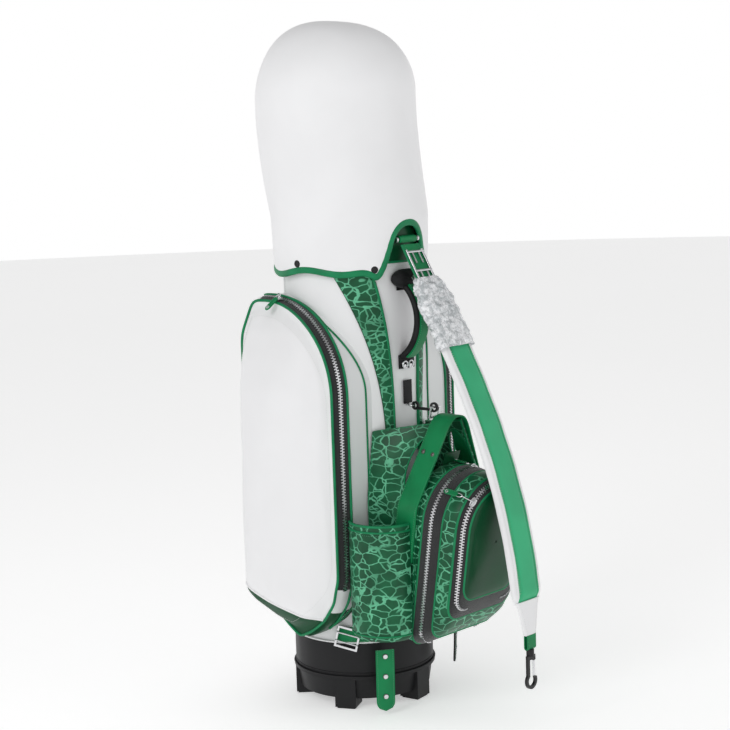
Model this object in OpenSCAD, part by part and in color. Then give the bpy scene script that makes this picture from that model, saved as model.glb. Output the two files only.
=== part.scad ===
// Golf staff bag with a travel hood, garment pockets, ball pocket, bottle pouches and one shoulder strap.
// Frame: +Z up, origin on the floor at the middle of the base, ball pocket towards -Y.
// Angles round the body are counted from the front (-Y) towards the left side (-X).

/* [Body] */
// Outer radius of the stitched body
body_r = 127; // [120:1:130]
// Height of the body's top edge
body_top = 862; // [850:1:880]
// Thickness of the stiff liner tube
tube_wall = 3; // [2:0.5:4]
// Thickness of the stitched outer panels
skin = 2; // [1.5:0.5:2.5]
// Height where the body panels end and the cuff starts
panel_top = 822; // [810:1:830]

/* [Base] */
// Height of the moulded base's ledge
base_ledge = 62; // [55:1:70]
// Height of the base band's top edge
band_top = 125; // [120:1:128]
// Number of moulded feet
feet = 5; // [3:1:8]

/* [Garment pockets] */
// Half the pocket's width along the bag's side
garment_half_w = 105; // [95:1:110]
// Radius of the zip's top curve
garment_arc_r = 175; // [165:1:180]
// Greatest reach of the pocket from the bag's axis
garment_reach = 246; // [225:1:250]

/* [Ball pocket] */
// Half width, and radius of its round top
ball_r = 88; // [80:1:92]
// Height where the round top starts
ball_spring_z = 372; // [350:1:390]
// Angle that the pocket leans out at the top
ball_lean = 9; // [5:1:11]

/* [Bottle pouches] */
// Outer radius of a pouch
pouch_r = 62; // [55:1:65]
// Height of the pouch rim
pouch_rim_z = 365; // [340:1:380]

/* [Shoulder strap] */
// Width of the padded part
pad_w = 82; // [70:1:90]
// Thickness of the padded part
pad_t = 20; // [14:1:22]
// Width of the leather belt
belt_w = 46; // [40:1:50]

/* [Hood] */
// Height of the hood's crown
hood_top = 1256; // [1200:1:1300]
// Height of the rim away from the arch
hood_rim = 806; // [800:1:815]
// Height of the strap arch
hood_arch_top = 890; // [880:1:900]

/* [Hidden] */
$fn = 96;

white = [0.92, 0.91, 0.92];
pattern_green = [0.06, 0.27, 0.17];
belt_green = [0.08, 0.38, 0.22];
trim_green = [0.15, 0.42, 0.28];
deep_green = [0.03, 0.17, 0.09];
bright_green = [0.16, 0.55, 0.36];
black = [0.04, 0.04, 0.045];
steel = [0.72, 0.72, 0.74];
film = [0.9, 0.93, 0.96];

gap = 0.4;
panel_r = body_r - skin;
tube_r = panel_r;
tube_floor = 40;
base_r = 130;
band_r = 131;

// ---------- helpers ----------
function arc(c, r, a0, a1, n) = [for (i = [0:n]) let (a = a0 + (a1 - a0) * i / n) c + r * [cos(a), sin(a)]];
function bezier(p, t) = pow(1 - t, 3) * p[0] + 3 * t * pow(1 - t, 2) * p[1]
    + 3 * t * t * (1 - t) * p[2] + pow(t, 3) * p[3];
function unit(v) = v / norm(v);
// a point at angle a round the body and radius r
function round_body(r, a, z) = [-r * sin(a), -r * cos(a), z];

// outline in Y and Z, w wide along X, centred
module yz(w) { rotate([90, 0, 90]) linear_extrude(height = w, center = true) children(); }
// outline in X and Z, from y0 towards -Y by depth
module xz(y0, depth) { translate([0, y0, 0]) rotate([90, 0, 0]) linear_extrude(height = depth) children(); }
// children drawn at angle 0 on the body, facing out at angle a and height z
module at(a, z) { translate([0, 0, z]) rotate([0, 0, -a]) children(); }
module mirrored(side) { mirror([side > 0 ? 1 : 0, 0, 0]) children(); }

// part of a round shell between two angles counted from the front
module shell_arc(r0, r1, z0, z1, a0, a1) {
    rotate([0, 0, -90 - a1])
        rotate_extrude(angle = a1 - a0)
            translate([r0, z0])
                square([r1 - r0, z1 - z0]);
}

// closed solid between two faces of a grid: front[i][j] and back[i][j], open edges joined
function grid_faces(n, m) = let (o = n * m) concat(
    [for (i = [0:n - 2], j = [0:m - 2]) each [[i * m + j, i * m + j + 1, (i + 1) * m + j + 1],
        [i * m + j, (i + 1) * m + j + 1, (i + 1) * m + j]]],
    [for (i = [0:n - 2], j = [0:m - 2]) each [[o + i * m + j, o + (i + 1) * m + j + 1, o + i * m + j + 1],
        [o + i * m + j, o + (i + 1) * m + j, o + (i + 1) * m + j + 1]]],
    [for (i = [0:n - 2]) each [[i * m, (i + 1) * m, o + (i + 1) * m], [i * m, o + (i + 1) * m, o + i * m],
        [i * m + m - 1, o + (i + 1) * m + m - 1, (i + 1) * m + m - 1],
        [i * m + m - 1, o + i * m + m - 1, o + (i + 1) * m + m - 1]]],
    [for (j = [0:m - 2]) each [[j, o + j + 1, j + 1], [j, o + j, o + j + 1],
        [(n - 1) * m + j, (n - 1) * m + j + 1, o + (n - 1) * m + j + 1],
        [(n - 1) * m + j, o + (n - 1) * m + j + 1, o + (n - 1) * m + j]]]);
module sheet_solid(front, back) {
    n = len(front);
    m = len(front[0]);
    polyhedron(points = concat([for (row = front) each row], [for (row = back) each row]),
        faces = grid_faces(n, m));
}

// ---------- base ----------
foot_phase = -8;
foot_w = 40;
foot_reach = 132;
foot_pad = 3;
module base_cup() {
    color(black) difference() {
        union() {
            translate([0, 0, 18]) cylinder(r1 = base_r - 7, r2 = base_r, h = base_ledge - 18);
            translate([0, 0, base_ledge - 6]) cylinder(r = band_r + 3, h = 6);
            cylinder(r = 62, h = 20);
            for (k = [0:feet - 1])
                at(foot_phase + 360 * k / feet, 0)
                    translate([-foot_w / 2, -foot_reach, foot_pad]) cube([foot_w, 40, base_ledge - 3 - foot_pad]);
        }
        translate([0, 0, -1]) cylinder(r = 48, h = 19);
        translate([0, 0, tube_floor]) cylinder(r = panel_r, h = base_ledge);
    }
}
module base_feet() {
    color(black) for (k = [0:feet - 1])
        at(foot_phase + 360 * k / feet, 0)
            translate([-foot_w / 2 + 3, -foot_reach + 3, 0]) cube([foot_w - 6, 34, foot_pad]);
}
module base_band() {
    color(black) translate([0, 0, base_ledge]) difference() {
        cylinder(r = band_r, h = band_top - base_ledge);
        translate([0, 0, -1]) cylinder(r = tube_r, h = band_top);
    }
}

// ---------- body ----------
module body_tube() {
    color(black) translate([0, 0, tube_floor]) difference() {
        cylinder(r = tube_r, h = body_top - tube_floor);
        translate([0, 0, tube_wall]) cylinder(r = tube_r - tube_wall, h = body_top);
    }
}
module stay_rods() {
    color(steel) for (a = [150, 210])
        at(a, tube_floor + tube_wall) translate([0, -(tube_r - tube_wall - 4), 0])
            cylinder(d = 8, h = 800, $fn = 32);
}
module front_panel() { color(white) shell_arc(panel_r, body_r, band_top, panel_top, -36, 36); }
module side_panel(side) {
    color(white) mirrored(side) shell_arc(panel_r, body_r, band_top, panel_top, 36, 124);
}
module spine_panel() { color(white) shell_arc(panel_r, body_r, band_top, panel_top, 124, 236); }

// crescent panel: left and right edges as angles at height z
pattern_z = [470, panel_top];
function pattern_left(z) = let (t = (z - 470) / 340) 22 + 42 * pow(max(t, 0), 2.2);
function pattern_right(z) = let (t = (z - 470) / 340) 15 + 17 * pow(max(t, 0), 3);
module pattern_panel(side) {
    rows = 14;
    cols = 8;
    function cell(i, j, r) = let (
        z = pattern_z[0] + (pattern_z[1] - pattern_z[0]) * i / rows,
        a = pattern_right(z) + (pattern_left(z) - pattern_right(z)) * j / cols) round_body(r, a, z);
    color(pattern_green) mirrored(side)
        sheet_solid([for (i = [0:rows]) [for (j = [0:cols]) cell(i, j, body_r + 1.8)]],
            [for (i = [0:rows]) [for (j = [0:cols]) cell(i, j, body_r + 0.4)]]);
}

// ---------- top ----------
cuff_r = 130;
cuff_top = 900;
module top_cuff() {
    color(deep_green) difference() {
        union() {
            translate([0, 0, panel_top]) cylinder(r = cuff_r, h = cuff_top - panel_top - 4);
            translate([0, 0, cuff_top - 4]) rotate_extrude() translate([cuff_r - 6, 0]) circle(r = 6, $fn = 32);
        }
        translate([0, 0, panel_top - 1]) cylinder(r = tube_r, h = body_top - panel_top + 1);
        translate([0, 0, body_top - 1]) cylinder(r = cuff_r - 12, h = 80);
    }
}
divider_t = 5;
divider_z = 560;
divider_h = 318;
module club_divider() {
    r = tube_r - tube_wall - gap;
    color(deep_green) intersection() {
        union() {
            translate([0, 0, divider_z]) cylinder(r = r, h = body_top - divider_z - 2);
            translate([0, 0, divider_z]) cylinder(r = cuff_r - 12 - gap, h = divider_h);
        }
        union() {
            for (x = [-40, 40])
                translate([x - divider_t / 2, -r, divider_z]) cube([divider_t, 2 * r, divider_h]);
            for (y = [-42, 42])
                translate([-r, y - divider_t / 2, divider_z]) cube([2 * r, divider_t, divider_h]);
        }
    }
}

// ---------- garment pockets ----------
garment_c = [70, 590];
garment_back = 107;
garment_zip_x = [135, 148];
// pocket outline in Y and Z, moved in by d
function garment_outline(d) = concat(
    [[-garment_half_w + d, 258]],
    arc(garment_c, garment_arc_r - d, 180, 90, 18),
    arc([garment_back - 18, garment_c[1] + garment_arc_r - 18], 18 - d, 90, 0, 4),
    [[garment_back - d, 232 + d], [90, 204 + d], [60, 180 + d], [28, 152 + d], [0, 134 + d], [-30, 148 + d],
        [-62, 172 + d], [-88, 208 + d]]);
// reach of the face at height z: slim at the top, full below the middle
function garment_side(d) = [[90, 100], [garment_zip_x[1], 100], [168, 150], [202 - d, 186 + d],
    [224 - d, 214], [240 - d, 255], [garment_reach - d, 320], [garment_reach - 4 - d, 400],
    [garment_reach - 14 - d, 500], [garment_reach - 28 - d, 600], [garment_reach - 44 - d, 660],
    [184 - d, 705], [166 - d, 738], [151 - d, 762 - d], [garment_zip_x[1] - d, 800], [90, 800]];
// reach in plan: round across the width
function garment_plan(d) = concat([[60, -120]],
    [for (i = [0:24]) let (a = -90 + 180 * i / 24, c = cos(a), s = sin(a))
        [garment_zip_x[1] + (garment_reach - garment_zip_x[1] - d) * pow(c, 0.75),
            (garment_half_w + 3 - d) * sign(s) * pow(abs(s), 0.8)]],
    [[60, 120]]);
// edge roll that runs round the top curve and down the front edge, as radius and reach
function garment_roll(d) = [[0, 90], [garment_arc_r - d, 90], [garment_arc_r - d, garment_zip_x[1]],
    [168 - d, 160], [150 - d, 176 - d], [122 - d, 196 - d], [90 - d, 214 - d], [50, 236 - d], [0, 260]];
module garment_roll_zone(d) {
    translate([0, garment_c[0], garment_c[1]]) {
        rotate([0, -90, 0]) rotate([0, 0, 90]) mirror([0, 1, 0])
            rotate_extrude() polygon(garment_roll(d));
    }
    translate([-300, garment_c[0], 90]) cube([300, 120, 720]);
    translate([0, garment_c[0], garment_c[1]]) rotate([180, 0, 0]) linear_extrude(height = 500)
        polygon([for (p = garment_roll(d)) [-p[1], p[0]]]);
}
module garment_block(x0, x1, d) {
    translate([-(x0 + x1) / 2, 0, 0]) yz(x1 - x0) polygon(garment_outline(d));
}
module garment_gusset(side) {
    color(white) mirrored(side) difference() {
        garment_block(40, garment_zip_x[0], 0);
        garment_block(39, garment_zip_x[0] - 3, 4);
        cylinder(r = body_r, h = 900);
    }
}
module garment_zip(side) {
    color(black) mirrored(side) difference() {
        garment_block(garment_zip_x[0], garment_zip_x[1], -1);
        garment_block(garment_zip_x[0] - 1, garment_zip_x[1] + 1, 4);
    }
}
module garment_face_block(d) {
    intersection() {
        garment_block(garment_zip_x[1] - (d > 0 ? 1 : 0), garment_reach + 10, d);
        linear_extrude(height = 900) polygon([for (p = garment_plan(d)) [-p[0], p[1]]]);
        rotate([90, 0, 0]) linear_extrude(height = 300, center = true)
            polygon([for (p = garment_side(d)) [-p[0], p[1]]]);
        garment_roll_zone(d);
    }
}
module garment_face(side) {
    color(white) mirrored(side) difference() {
        garment_face_block(0);
        garment_face_block(4);
    }
}
slider_rest = 100;
module on_garment_arc(a) {
    translate([-(garment_zip_x[0] + garment_zip_x[1]) / 2, garment_c[0], garment_c[1]])
        rotate([a - 90, 0, 0]) translate([0, 0, garment_arc_r + 1 + gap]) children();
}
module slider_shape() {
    translate([-5, -7, 0]) cube([10, 14, 3]);
    translate([-1.5, -5, 3]) difference() {
        cube([3, 10, 4]);
        translate([-1, 3, -1]) cube([5, 4, 3.4]);
    }
}
module garment_slider(side) { color(steel) mirrored(side) on_garment_arc(slider_rest) slider_shape(); }
// pull tab: a bent wire link and a leather tongue with an eyelet, hung from the slider
puller_drop = 40;
puller_tilt = 52;
module puller_shape(len) {
    difference() {
        union() {
            translate([-5, -1.6, -len]) cube([10, 3.2, len - 12]);
            translate([0, 1.6, -len]) rotate([90, 0, 0]) cylinder(r = 5, h = 3.2, $fn = 32);
            translate([-2, -1, -13]) cube([4, 2, 13]);
        }
        translate([0, 5, -len]) rotate([90, 0, 0]) cylinder(r = 2, h = 10, $fn = 32);
    }
}
module garment_puller(side) {
    color(belt_green) mirrored(side) on_garment_arc(slider_rest) translate([-6, 0, 5])
        rotate([0, puller_tilt, 0]) rotate([0, 0, 90]) puller_shape(puller_drop);
}

// ---------- ball pocket ----------
ball_pivot = [0, -205, 200];
// plane just in front of the garment pockets' front edges
pocket_front = -garment_half_w - 0.8;
ball_layers = [-219, -237, -276, -286, -312];
// side view in Y and Z: the flat bottom turns up towards the front
function ball_side(d) = [[0, 130 + d], [-150, 131 + d], [-205, 140 + d], [-245, 158 + d], [-272 + d, 182 + d],
    [-292 + d, 212 + d], [-309 + d, 260], [-318 + d, 310], [-327 + d, 370], [-334 + d, 415],
    [-333 + d, 440], [-318 + d, 462 - d], [-280, 520 - d], [0, 520 - d]];
// space left open between the body and the top of the pocket's back, in Y and Z, widened by d
function ball_back(d) = [[-60, 345 - d], [-200 - d, 385 - d], [-232 - d, 480], [-232 - d, 600], [-60, 600]];
module leaning() { translate(ball_pivot) rotate([ball_lean, 0, 0]) translate(-ball_pivot) children(); }
module ball_outline(d) {
    union() {
        translate([-ball_r + d, 60]) square([2 * (ball_r - d), ball_spring_z - 60]);
        translate([0, ball_spring_z]) circle(r = ball_r - d);
    }
}
module ball_layer(y0, y1, d) {
    intersection() {
        leaning() xz(y0, y0 - y1) ball_outline(d);
        yz(260) polygon(ball_side(max(d, 0)));
    }
}
module ball_gusset_rear() {
    color(pattern_green) difference() {
        ball_layer(-20, ball_layers[0], 0);
        difference() {
            ball_layer(-19, ball_layers[0] + 3, 4);
            yz(200) polygon(ball_back(4));
        }
        cylinder(r = body_r, h = 900);
        yz(200) polygon(ball_back(0));
        translate([-150, pocket_front, 0]) cube([300, 200, 900]);
    }
}
module ball_zip_rear() {
    color(black) difference() {
        ball_layer(ball_layers[0], ball_layers[1], -1);
        ball_layer(ball_layers[0] + 1, ball_layers[1] - 1, 4);
    }
}
module ball_gusset_middle() {
    color(pattern_green) difference() {
        ball_layer(ball_layers[1], ball_layers[2], 0);
        ball_layer(ball_layers[1] + 1, ball_layers[2] - 1, 4);
    }
}
module ball_zip_front() {
    color(black) difference() {
        ball_layer(ball_layers[2], ball_layers[3], -1);
        ball_layer(ball_layers[2] + 1, ball_layers[3] - 1, 4);
    }
}
module ball_face() {
    color(deep_green) difference() {
        ball_layer(ball_layers[3], ball_layers[4], 0);
        ball_layer(ball_layers[3] + 1, ball_layers[4] + 4, 4);
    }
}
rear_slider_a = 8;
front_slider_a = -48;
module on_ball_arc(y, a) {
    leaning() translate([0, y, ball_spring_z]) rotate([0, a, 0]) translate([0, 0, ball_r + 1 + gap]) children();
}
module ball_slider(y, a) { color(steel) on_ball_arc(y, a) rotate([0, 0, 90]) slider_shape(); }
module ball_puller(y, a) {
    color(belt_green) on_ball_arc(y, a) translate([0, 8, 5]) rotate([88, 0, 0]) puller_shape(36);
}
module ball_slider_rear() { ball_slider((ball_layers[0] + ball_layers[1]) / 2, rear_slider_a); }
module ball_slider_front() { ball_slider((ball_layers[2] + ball_layers[3]) / 2, front_slider_a); }
module ball_puller_rear() { ball_puller((ball_layers[0] + ball_layers[1]) / 2, rear_slider_a); }
module ball_puller_front() { ball_puller((ball_layers[2] + ball_layers[3]) / 2, front_slider_a); }

// ---------- harness over the ball pocket ----------
wing_t = 1.5;
wing_x = ball_r + 1.6;
apex_z = 552;
strap_t = 3;
// rear edge on the garment pocket's front, and front edge under the leather arch
function wing_body(t) = let (z = 156 + 362 * t, k = min(1, max(0, z - 400) / 118))
    [-wing_x - 0.4 + 17 * k, pocket_front - 0.4, z];
function wing_arch(t) = let (z = 156 + 384 * t) [0, -204 - 40 * max(0, z - 200) / 340, z];
// half width between the wings at a leaning height
function wing_line(z) = wing_x - 0.44 * min(40, max(0, z - 391)) - 0.54 * max(0, z - 430);
function wing_at(s, t, d) = let (a = wing_body(t), b = wing_arch(t), f = 1 - pow(1 - s, 3),
    y = a[1] + (b[1] - a[1]) * s, z = a[2] + (b[2] - a[2]) * s,
    x = -wing_line(200 - (y + 205) * sin(ball_lean) + (z - 200) * cos(ball_lean)))
    [a[0] + (x - a[0]) * f - sin(180 * s) - d * (0.8 + 0.2 * s), y - d * 0.6 * (1 - s), z];
// opening in the wing: an oval in its own two directions, joined to the square outline
wing_hole = [0.76, 0.82];
wing_hole_r = [0.2, 0.13];
function square_edge(a) = let (c = cos(a), s = sin(a), k = 1 / max(abs(c), abs(s))) [c * k, s * k];
function wing_ring(a, k) = let (e = square_edge(a),
    o = [wing_hole[0] + (e[0] > 0 ? 1 - wing_hole[0] : wing_hole[0]) * e[0],
        wing_hole[1] + (e[1] > 0 ? 1 - wing_hole[1] : wing_hole[1]) * e[1]],
    h = [wing_hole[0] + wing_hole_r[0] * cos(a), wing_hole[1] + wing_hole_r[1] * sin(a)]) h + (o - h) * k;
module harness_wing(side) {
    n = 48;
    m = 14;
    function at_ring(i, k, d) = let (p = wing_ring(360 * i / n, k / (m - 1))) wing_at(p[0], p[1], d);
    front = [for (k = [0:m - 1]) each [for (i = [0:n - 1]) at_ring(i, k, wing_t)]];
    back = [for (k = [0:m - 1]) each [for (i = [0:n - 1]) at_ring(i, k, 0)]];
    o = n * m;
    face = [for (k = [0:m - 2], i = [0:n - 1]) let (j = (i + 1) % n)
        each [[k * n + i, (k + 1) * n + j, k * n + j], [k * n + i, (k + 1) * n + i, (k + 1) * n + j]]];
    rear = [for (f = face) [o + f[0], o + f[2], o + f[1]]];
    rim = [for (i = [0:n - 1]) let (j = (i + 1) % n) each [[i, j, o + j], [i, o + j, o + i]]];
    edge = [for (i = [0:n - 1]) let (j = (i + 1) % n, q = (m - 1) * n)
        each [[q + i, o + q + j, q + j], [q + i, o + q + i, o + q + j]]];
    color(pattern_green) mirrored(side)
        polyhedron(points = concat(front, back),
            faces = [for (f = concat(face, rear, rim, edge)) [f[0], f[2], f[1]]]);
}
// leather arch: from one bottle pouch over the pocket to the other
arch_w = 46;
arch_foot = 300;
function arch_path(d) = [[-wing_x - 4 - d, arch_foot], [-wing_x - 4 - d, 400], [-24 - d * 0.9, apex_z - 14],
    [-11 - d * 0.4, apex_z + d]];
module harness_strap() {
    out = arch_path(strap_t);
    in = arch_path(0);
    color(belt_green) translate([0, -177, 370]) rotate([9, 0, 0]) translate([0, 0, -370])
        xz(0, arch_w) polygon(concat(out, [for (i = [3:-1:0]) [-out[i][0], out[i][1]]],
            [for (p = in) [-p[0], p[1]]], [for (i = [3:-1:0]) in[i]]));
}
module harness_ring() {
    color(steel) translate([0, -193, apex_z - 1]) rotate([12, 0, 0]) difference() {
        cube([26, 3, 22], center = true);
        cube([20, 4, 16], center = true);
    }
}

// ---------- bottle pouches ----------
pouch_c = [-98, -148];
pouch_floor = 152;
pouch_wall = 3;
module bottle_pouch(side) {
    color(pattern_green) mirrored(side) difference() {
        translate([pouch_c[0], pouch_c[1], pouch_floor]) cylinder(r = pouch_r, h = pouch_rim_z - pouch_floor);
        translate([pouch_c[0], pouch_c[1], pouch_floor + pouch_wall])
            cylinder(r = pouch_r - pouch_wall, h = pouch_rim_z);
        cylinder(r = body_r + 4, h = 500);
        translate([-wing_x - 9, -260, 100]) cube([2 * wing_x, 200, 400]);
        translate([-200, pocket_front - 0.4, 100]) cube([200, 100, 400]);
    }
}

// ---------- grab handle ----------
handle_z = [640, 796];
handle_w = 36;
handle_bow = 47;
handle_t = 17;
handle_mid = (handle_z[0] + handle_z[1]) / 2;
handle_half = (handle_z[1] - handle_z[0]) / 2;
handle_r = (handle_half * handle_half + handle_bow * handle_bow) / (2 * handle_bow);
module handle_base() {
    color(black) difference() {
        intersection() {
            cylinder(r = body_r + 3, h = 900);
            xz(0, 200) translate([-26, handle_z[0] - 16]) square([52, handle_z[1] - handle_z[0] + 26]);
        }
        cylinder(r = body_r, h = 900);
    }
}
module handle_grip() {
    color(belt_green) difference() {
        intersection() {
            translate([0, -body_r - 3 - handle_bow + handle_r, handle_mid]) rotate([0, 90, 0])
                cylinder(r = handle_r, h = handle_w, center = true);
            translate([-50, -300, handle_z[0] - 10]) cube([100, 300 - body_r + 3, 200]);
        }
        translate([0, -body_r - 3 - handle_bow + handle_r, handle_mid]) rotate([0, 90, 0])
            cylinder(r = handle_r - handle_t, h = handle_w + 2, center = true);
        cylinder(r = body_r + 3, h = 900);
    }
}
module handle_cap() {
    color(black) difference() {
        translate([0, -body_r - 8, handle_z[1] - 6]) {
            rotate([0, 90, 0]) cylinder(r = 19, h = 40, center = true, $fn = 48);
            translate([-20, 0, 0]) sphere(r = 17, $fn = 32);
            translate([20, 0, 0]) sphere(r = 17, $fn = 32);
        }
        cylinder(r = body_r + 3, h = 900);
        translate([0, -body_r - 3 - handle_bow + handle_r, handle_mid]) rotate([0, 90, 0])
            cylinder(r = handle_r, h = handle_w, center = true);
    }
}

// ---------- tether between the body and the harness ----------
tether_z = 566;
module tether_tab() {
    color(black) difference() {
        intersection() {
            cylinder(r = body_r + 2.5, h = 900);
            translate([-11, -150, tether_z - 4]) cube([22, 60, 44]);
        }
        cylinder(r = body_r, h = 900);
    }
    color(steel) translate([0, -body_r - 13, tether_z - 7]) difference() {
        union() {
            cylinder(r = 8, h = 3, center = true, $fn = 32);
            translate([-3, 6, -1.5]) cube([6, 5, 3]);
        }
        cylinder(r = 5, h = 4, center = true, $fn = 32);
    }
}
module tether_clip() {
    color(black) translate([0, -body_r - 15, tether_z - 2]) difference() {
        union() {
            translate([-2, -52, -12]) cube([4, 50, 5]);
            translate([0, -6, -5]) rotate([0, 90, 0]) cylinder(r = 8, h = 4, center = true, $fn = 32);
            translate([0, -50, -5]) rotate([0, 90, 0]) cylinder(r = 9, h = 4, center = true, $fn = 32);
        }
        translate([0, -6, -5]) rotate([0, 90, 0]) cylinder(r = 4, h = 6, center = true, $fn = 32);
        translate([0, -50, -5]) rotate([0, 90, 0]) cylinder(r = 5.5, h = 6, center = true, $fn = 32);
    }
}

// ---------- lower belts ----------
belt_z = [128, 156];
tongue_w = 34;
tongue_a = 35;
tongue_r = 168;
tongue_t = 3.5;
buckle_a = 60;
buckle_z = 136;
// lowest points of the two hanging tongues
tongue_tip = [8, 52];
module tongue(tip) {
    at(tongue_a, 0) translate([0, -tongue_r, 0]) rotate([2.5, 0, 0]) rotate([90, 0, 0])
        linear_extrude(height = tongue_t) union() {
            translate([-tongue_w / 2, tip + tongue_w / 2]) square([tongue_w, 151 - tip - tongue_w / 2]);
            translate([0, tip + tongue_w / 2]) circle(r = tongue_w / 2);
        }
}
module lower_belt(side) {
    color(belt_green) mirrored(side) {
        shell_arc(body_r + 1, body_r + 4, belt_z[0], belt_z[1], 44, 68);
        difference() {
            tongue(side < 0 ? tongue_tip[0] : tongue_tip[1]);
            translate([-ball_r - gap, -300, band_top]) cube([200, 300, 60]);
        }
    }
}
module buckle_frame(w, h, t) {
    rotate([90, 0, 0]) linear_extrude(height = t) difference() {
        square([w, h], center = true);
        square([w - 2 * t, h - 2 * t], center = true);
    }
    for (z = [-h / 5, h / 5])
        translate([0, -t - 1.6, z]) rotate([0, 90, 0]) cylinder(d = 3, h = w, center = true, $fn = 32);
}
module belt_buckle(side) {
    color(steel) mirrored(side) at(buckle_a, buckle_z)
        translate([0, -body_r - 7, 0]) rotate([0, 14, 0]) buckle_frame(44, 40, 3.5);
}

// ---------- shoulder strap ----------
strap_p = [[-140, 858], [-250, 660], [-385, 480], [-397, 165]];
function strap_at(t) = bezier(strap_p, t);
function strap_normal(t) = let (d = unit(strap_at(min(t + 0.01, 1)) - strap_at(max(t - 0.01, 0)))) [d[1], -d[0]];
// a layer along the strap's curve from t0 to t1 between two distances from it, outwards positive
function strap_layer(t0, t1, d0, d1, n) = concat(
    [for (i = [0:n]) let (t = t0 + (t1 - t0) * i / n) strap_at(t) + d1 * strap_normal(t)],
    [for (i = [n:-1:0]) let (t = t0 + (t1 - t0) * i / n) strap_at(t) + d0 * strap_normal(t)]);
anchor = [-138, 862];
pin_r = 3;
module strap_anchor() {
    color(steel) translate([0, anchor[0], anchor[1]]) {
        rotate([0, 90, 0]) cylinder(r = pin_r, h = belt_w + 14, center = true);
        for (x = [-1, 1])
            translate([x * (belt_w / 2 + 5), 0, 0]) {
                rotate([0, 90, 0]) cylinder(r = 5, h = 4, center = true, $fn = 48);
                translate([-2, 0, -5]) cube([4, 10, 10]);
            }
    }
}
module strap_belt() {
    color(belt_green) difference() {
        union() {
            yz(belt_w) polygon(strap_layer(0, 0.42, 0, 4, 12));
            translate([0, anchor[0], anchor[1]]) rotate([0, 90, 0])
                cylinder(r = 7, h = belt_w, center = true);
        }
        translate([0, anchor[0], anchor[1]]) rotate([0, 90, 0])
            cylinder(r = pin_r + 0.08, h = belt_w + 2, center = true);
    }
}
// long double-pronged adjuster lying on the belt
module strap_buckle() {
    color(steel) {
        for (x = [-1, 1]) {
            translate([x * (belt_w / 2 - 2), 0, 0]) yz(3) polygon(strap_layer(0.03, 0.27, 4, 7, 8));
            translate([x * 9, 0, 0]) yz(3) polygon(strap_layer(0.13, 0.2, 4, 7, 4));
        }
        for (t = [0.03, 0.14, 0.25])
            yz(belt_w - 1) polygon(strap_layer(t, t + 0.014, 4, 7.5, 1));
    }
}
module strap_pad() {
    color(bright_green) yz(pad_w) polygon(strap_layer(0.36, 0.93, -pad_t / 2 - gap, pad_t / 2 - gap, 22));
}
module strap_wrap() {
    color(film) difference() {
        yz(pad_w + 12) polygon(strap_layer(0.21, 0.50, -pad_t / 2 - 4, pad_t / 2 + 8, 12));
        yz(pad_w + 0.1) polygon(strap_layer(0.36, 0.51, -pad_t / 2 - gap, pad_t / 2 - gap, 12));
        yz(belt_w + 0.1) polygon(strap_layer(0.20, 0.37, -0.2, 7.6, 12));
    }
}
strap_tip = strap_at(1);
module strap_end() {
    color(white) yz(pad_w - 30) polygon(strap_layer(0.93, 0.99, -5, 5, 3));
    color(belt_green) yz(26) polygon(strap_layer(0.99, 1.0, -3, 3, 1));
    color(belt_green) translate([0, strap_tip[0], strap_tip[1] - 8]) difference() {
        cube([26, 9, 18], center = true);
        translate([0, 0, -12]) cylinder(r = 4, h = 16, $fn = 48);
    }
}
hook_top = strap_tip[1] - 18;
module hook_body() {
    color(black) translate([0, strap_tip[0], hook_top]) {
        translate([0, 0, -1]) cylinder(r = 3.9, h = 12, $fn = 48);
        translate([0, 0, -13]) cylinder(r = 7, h = 12, $fn = 48);
        translate([0, 2, -44]) rotate([90, 0, 0]) linear_extrude(height = 5) difference() {
            union() {
                translate([0, -14]) circle(r = 15);
                translate([-11, -14]) square([22, 46]);
            }
            union() {
                translate([0, -14]) circle(r = 9.5);
                translate([-5, -14]) square([10, 38]);
                translate([5, -8]) square([12, 30]);
            }
        }
    }
}
module hook_gate() {
    color(steel) translate([6.5, strap_tip[0] - 2, hook_top - 44 - 6]) cube([4, 3.5, 27]);
}

// ---------- hood ----------
hood_wall = 3;
// fall of the crown towards the front, as a slope
crown_slope = 0.12;
// radius and backward shift of the hood at height z
function hood_r(z) = let (u = (z - 800) / 462) 139 + 7 * sin(180 * min(1, max(0, u) / 1.1));
function hood_shift(z) = let (u = max(0, (z - 800) / 462), s = max(0, (z - cuff_top - 6) / 356))
    24 * sin(min(1, s / 0.55) * 90) * (1 - 0.35 * max(0, u - 0.7) / 0.3);
// rim height at angle a: scalloped, dipping at the arch's corners, then up over the arch
arch_half = 23;
function fold(a) = abs(a > 180 ? a - 360 : a);
function hood_rim_z(a) = let (b = fold(a))
    b < arch_half ? hood_rim - 22 + (hood_arch_top - hood_rim + 22) * pow(1 - pow(b / arch_half, 2.6), 0.55)
    : hood_rim + 5 * cos((b - arch_half) * 6) - 24 * exp(-pow((b - arch_half) / 7, 2));
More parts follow.
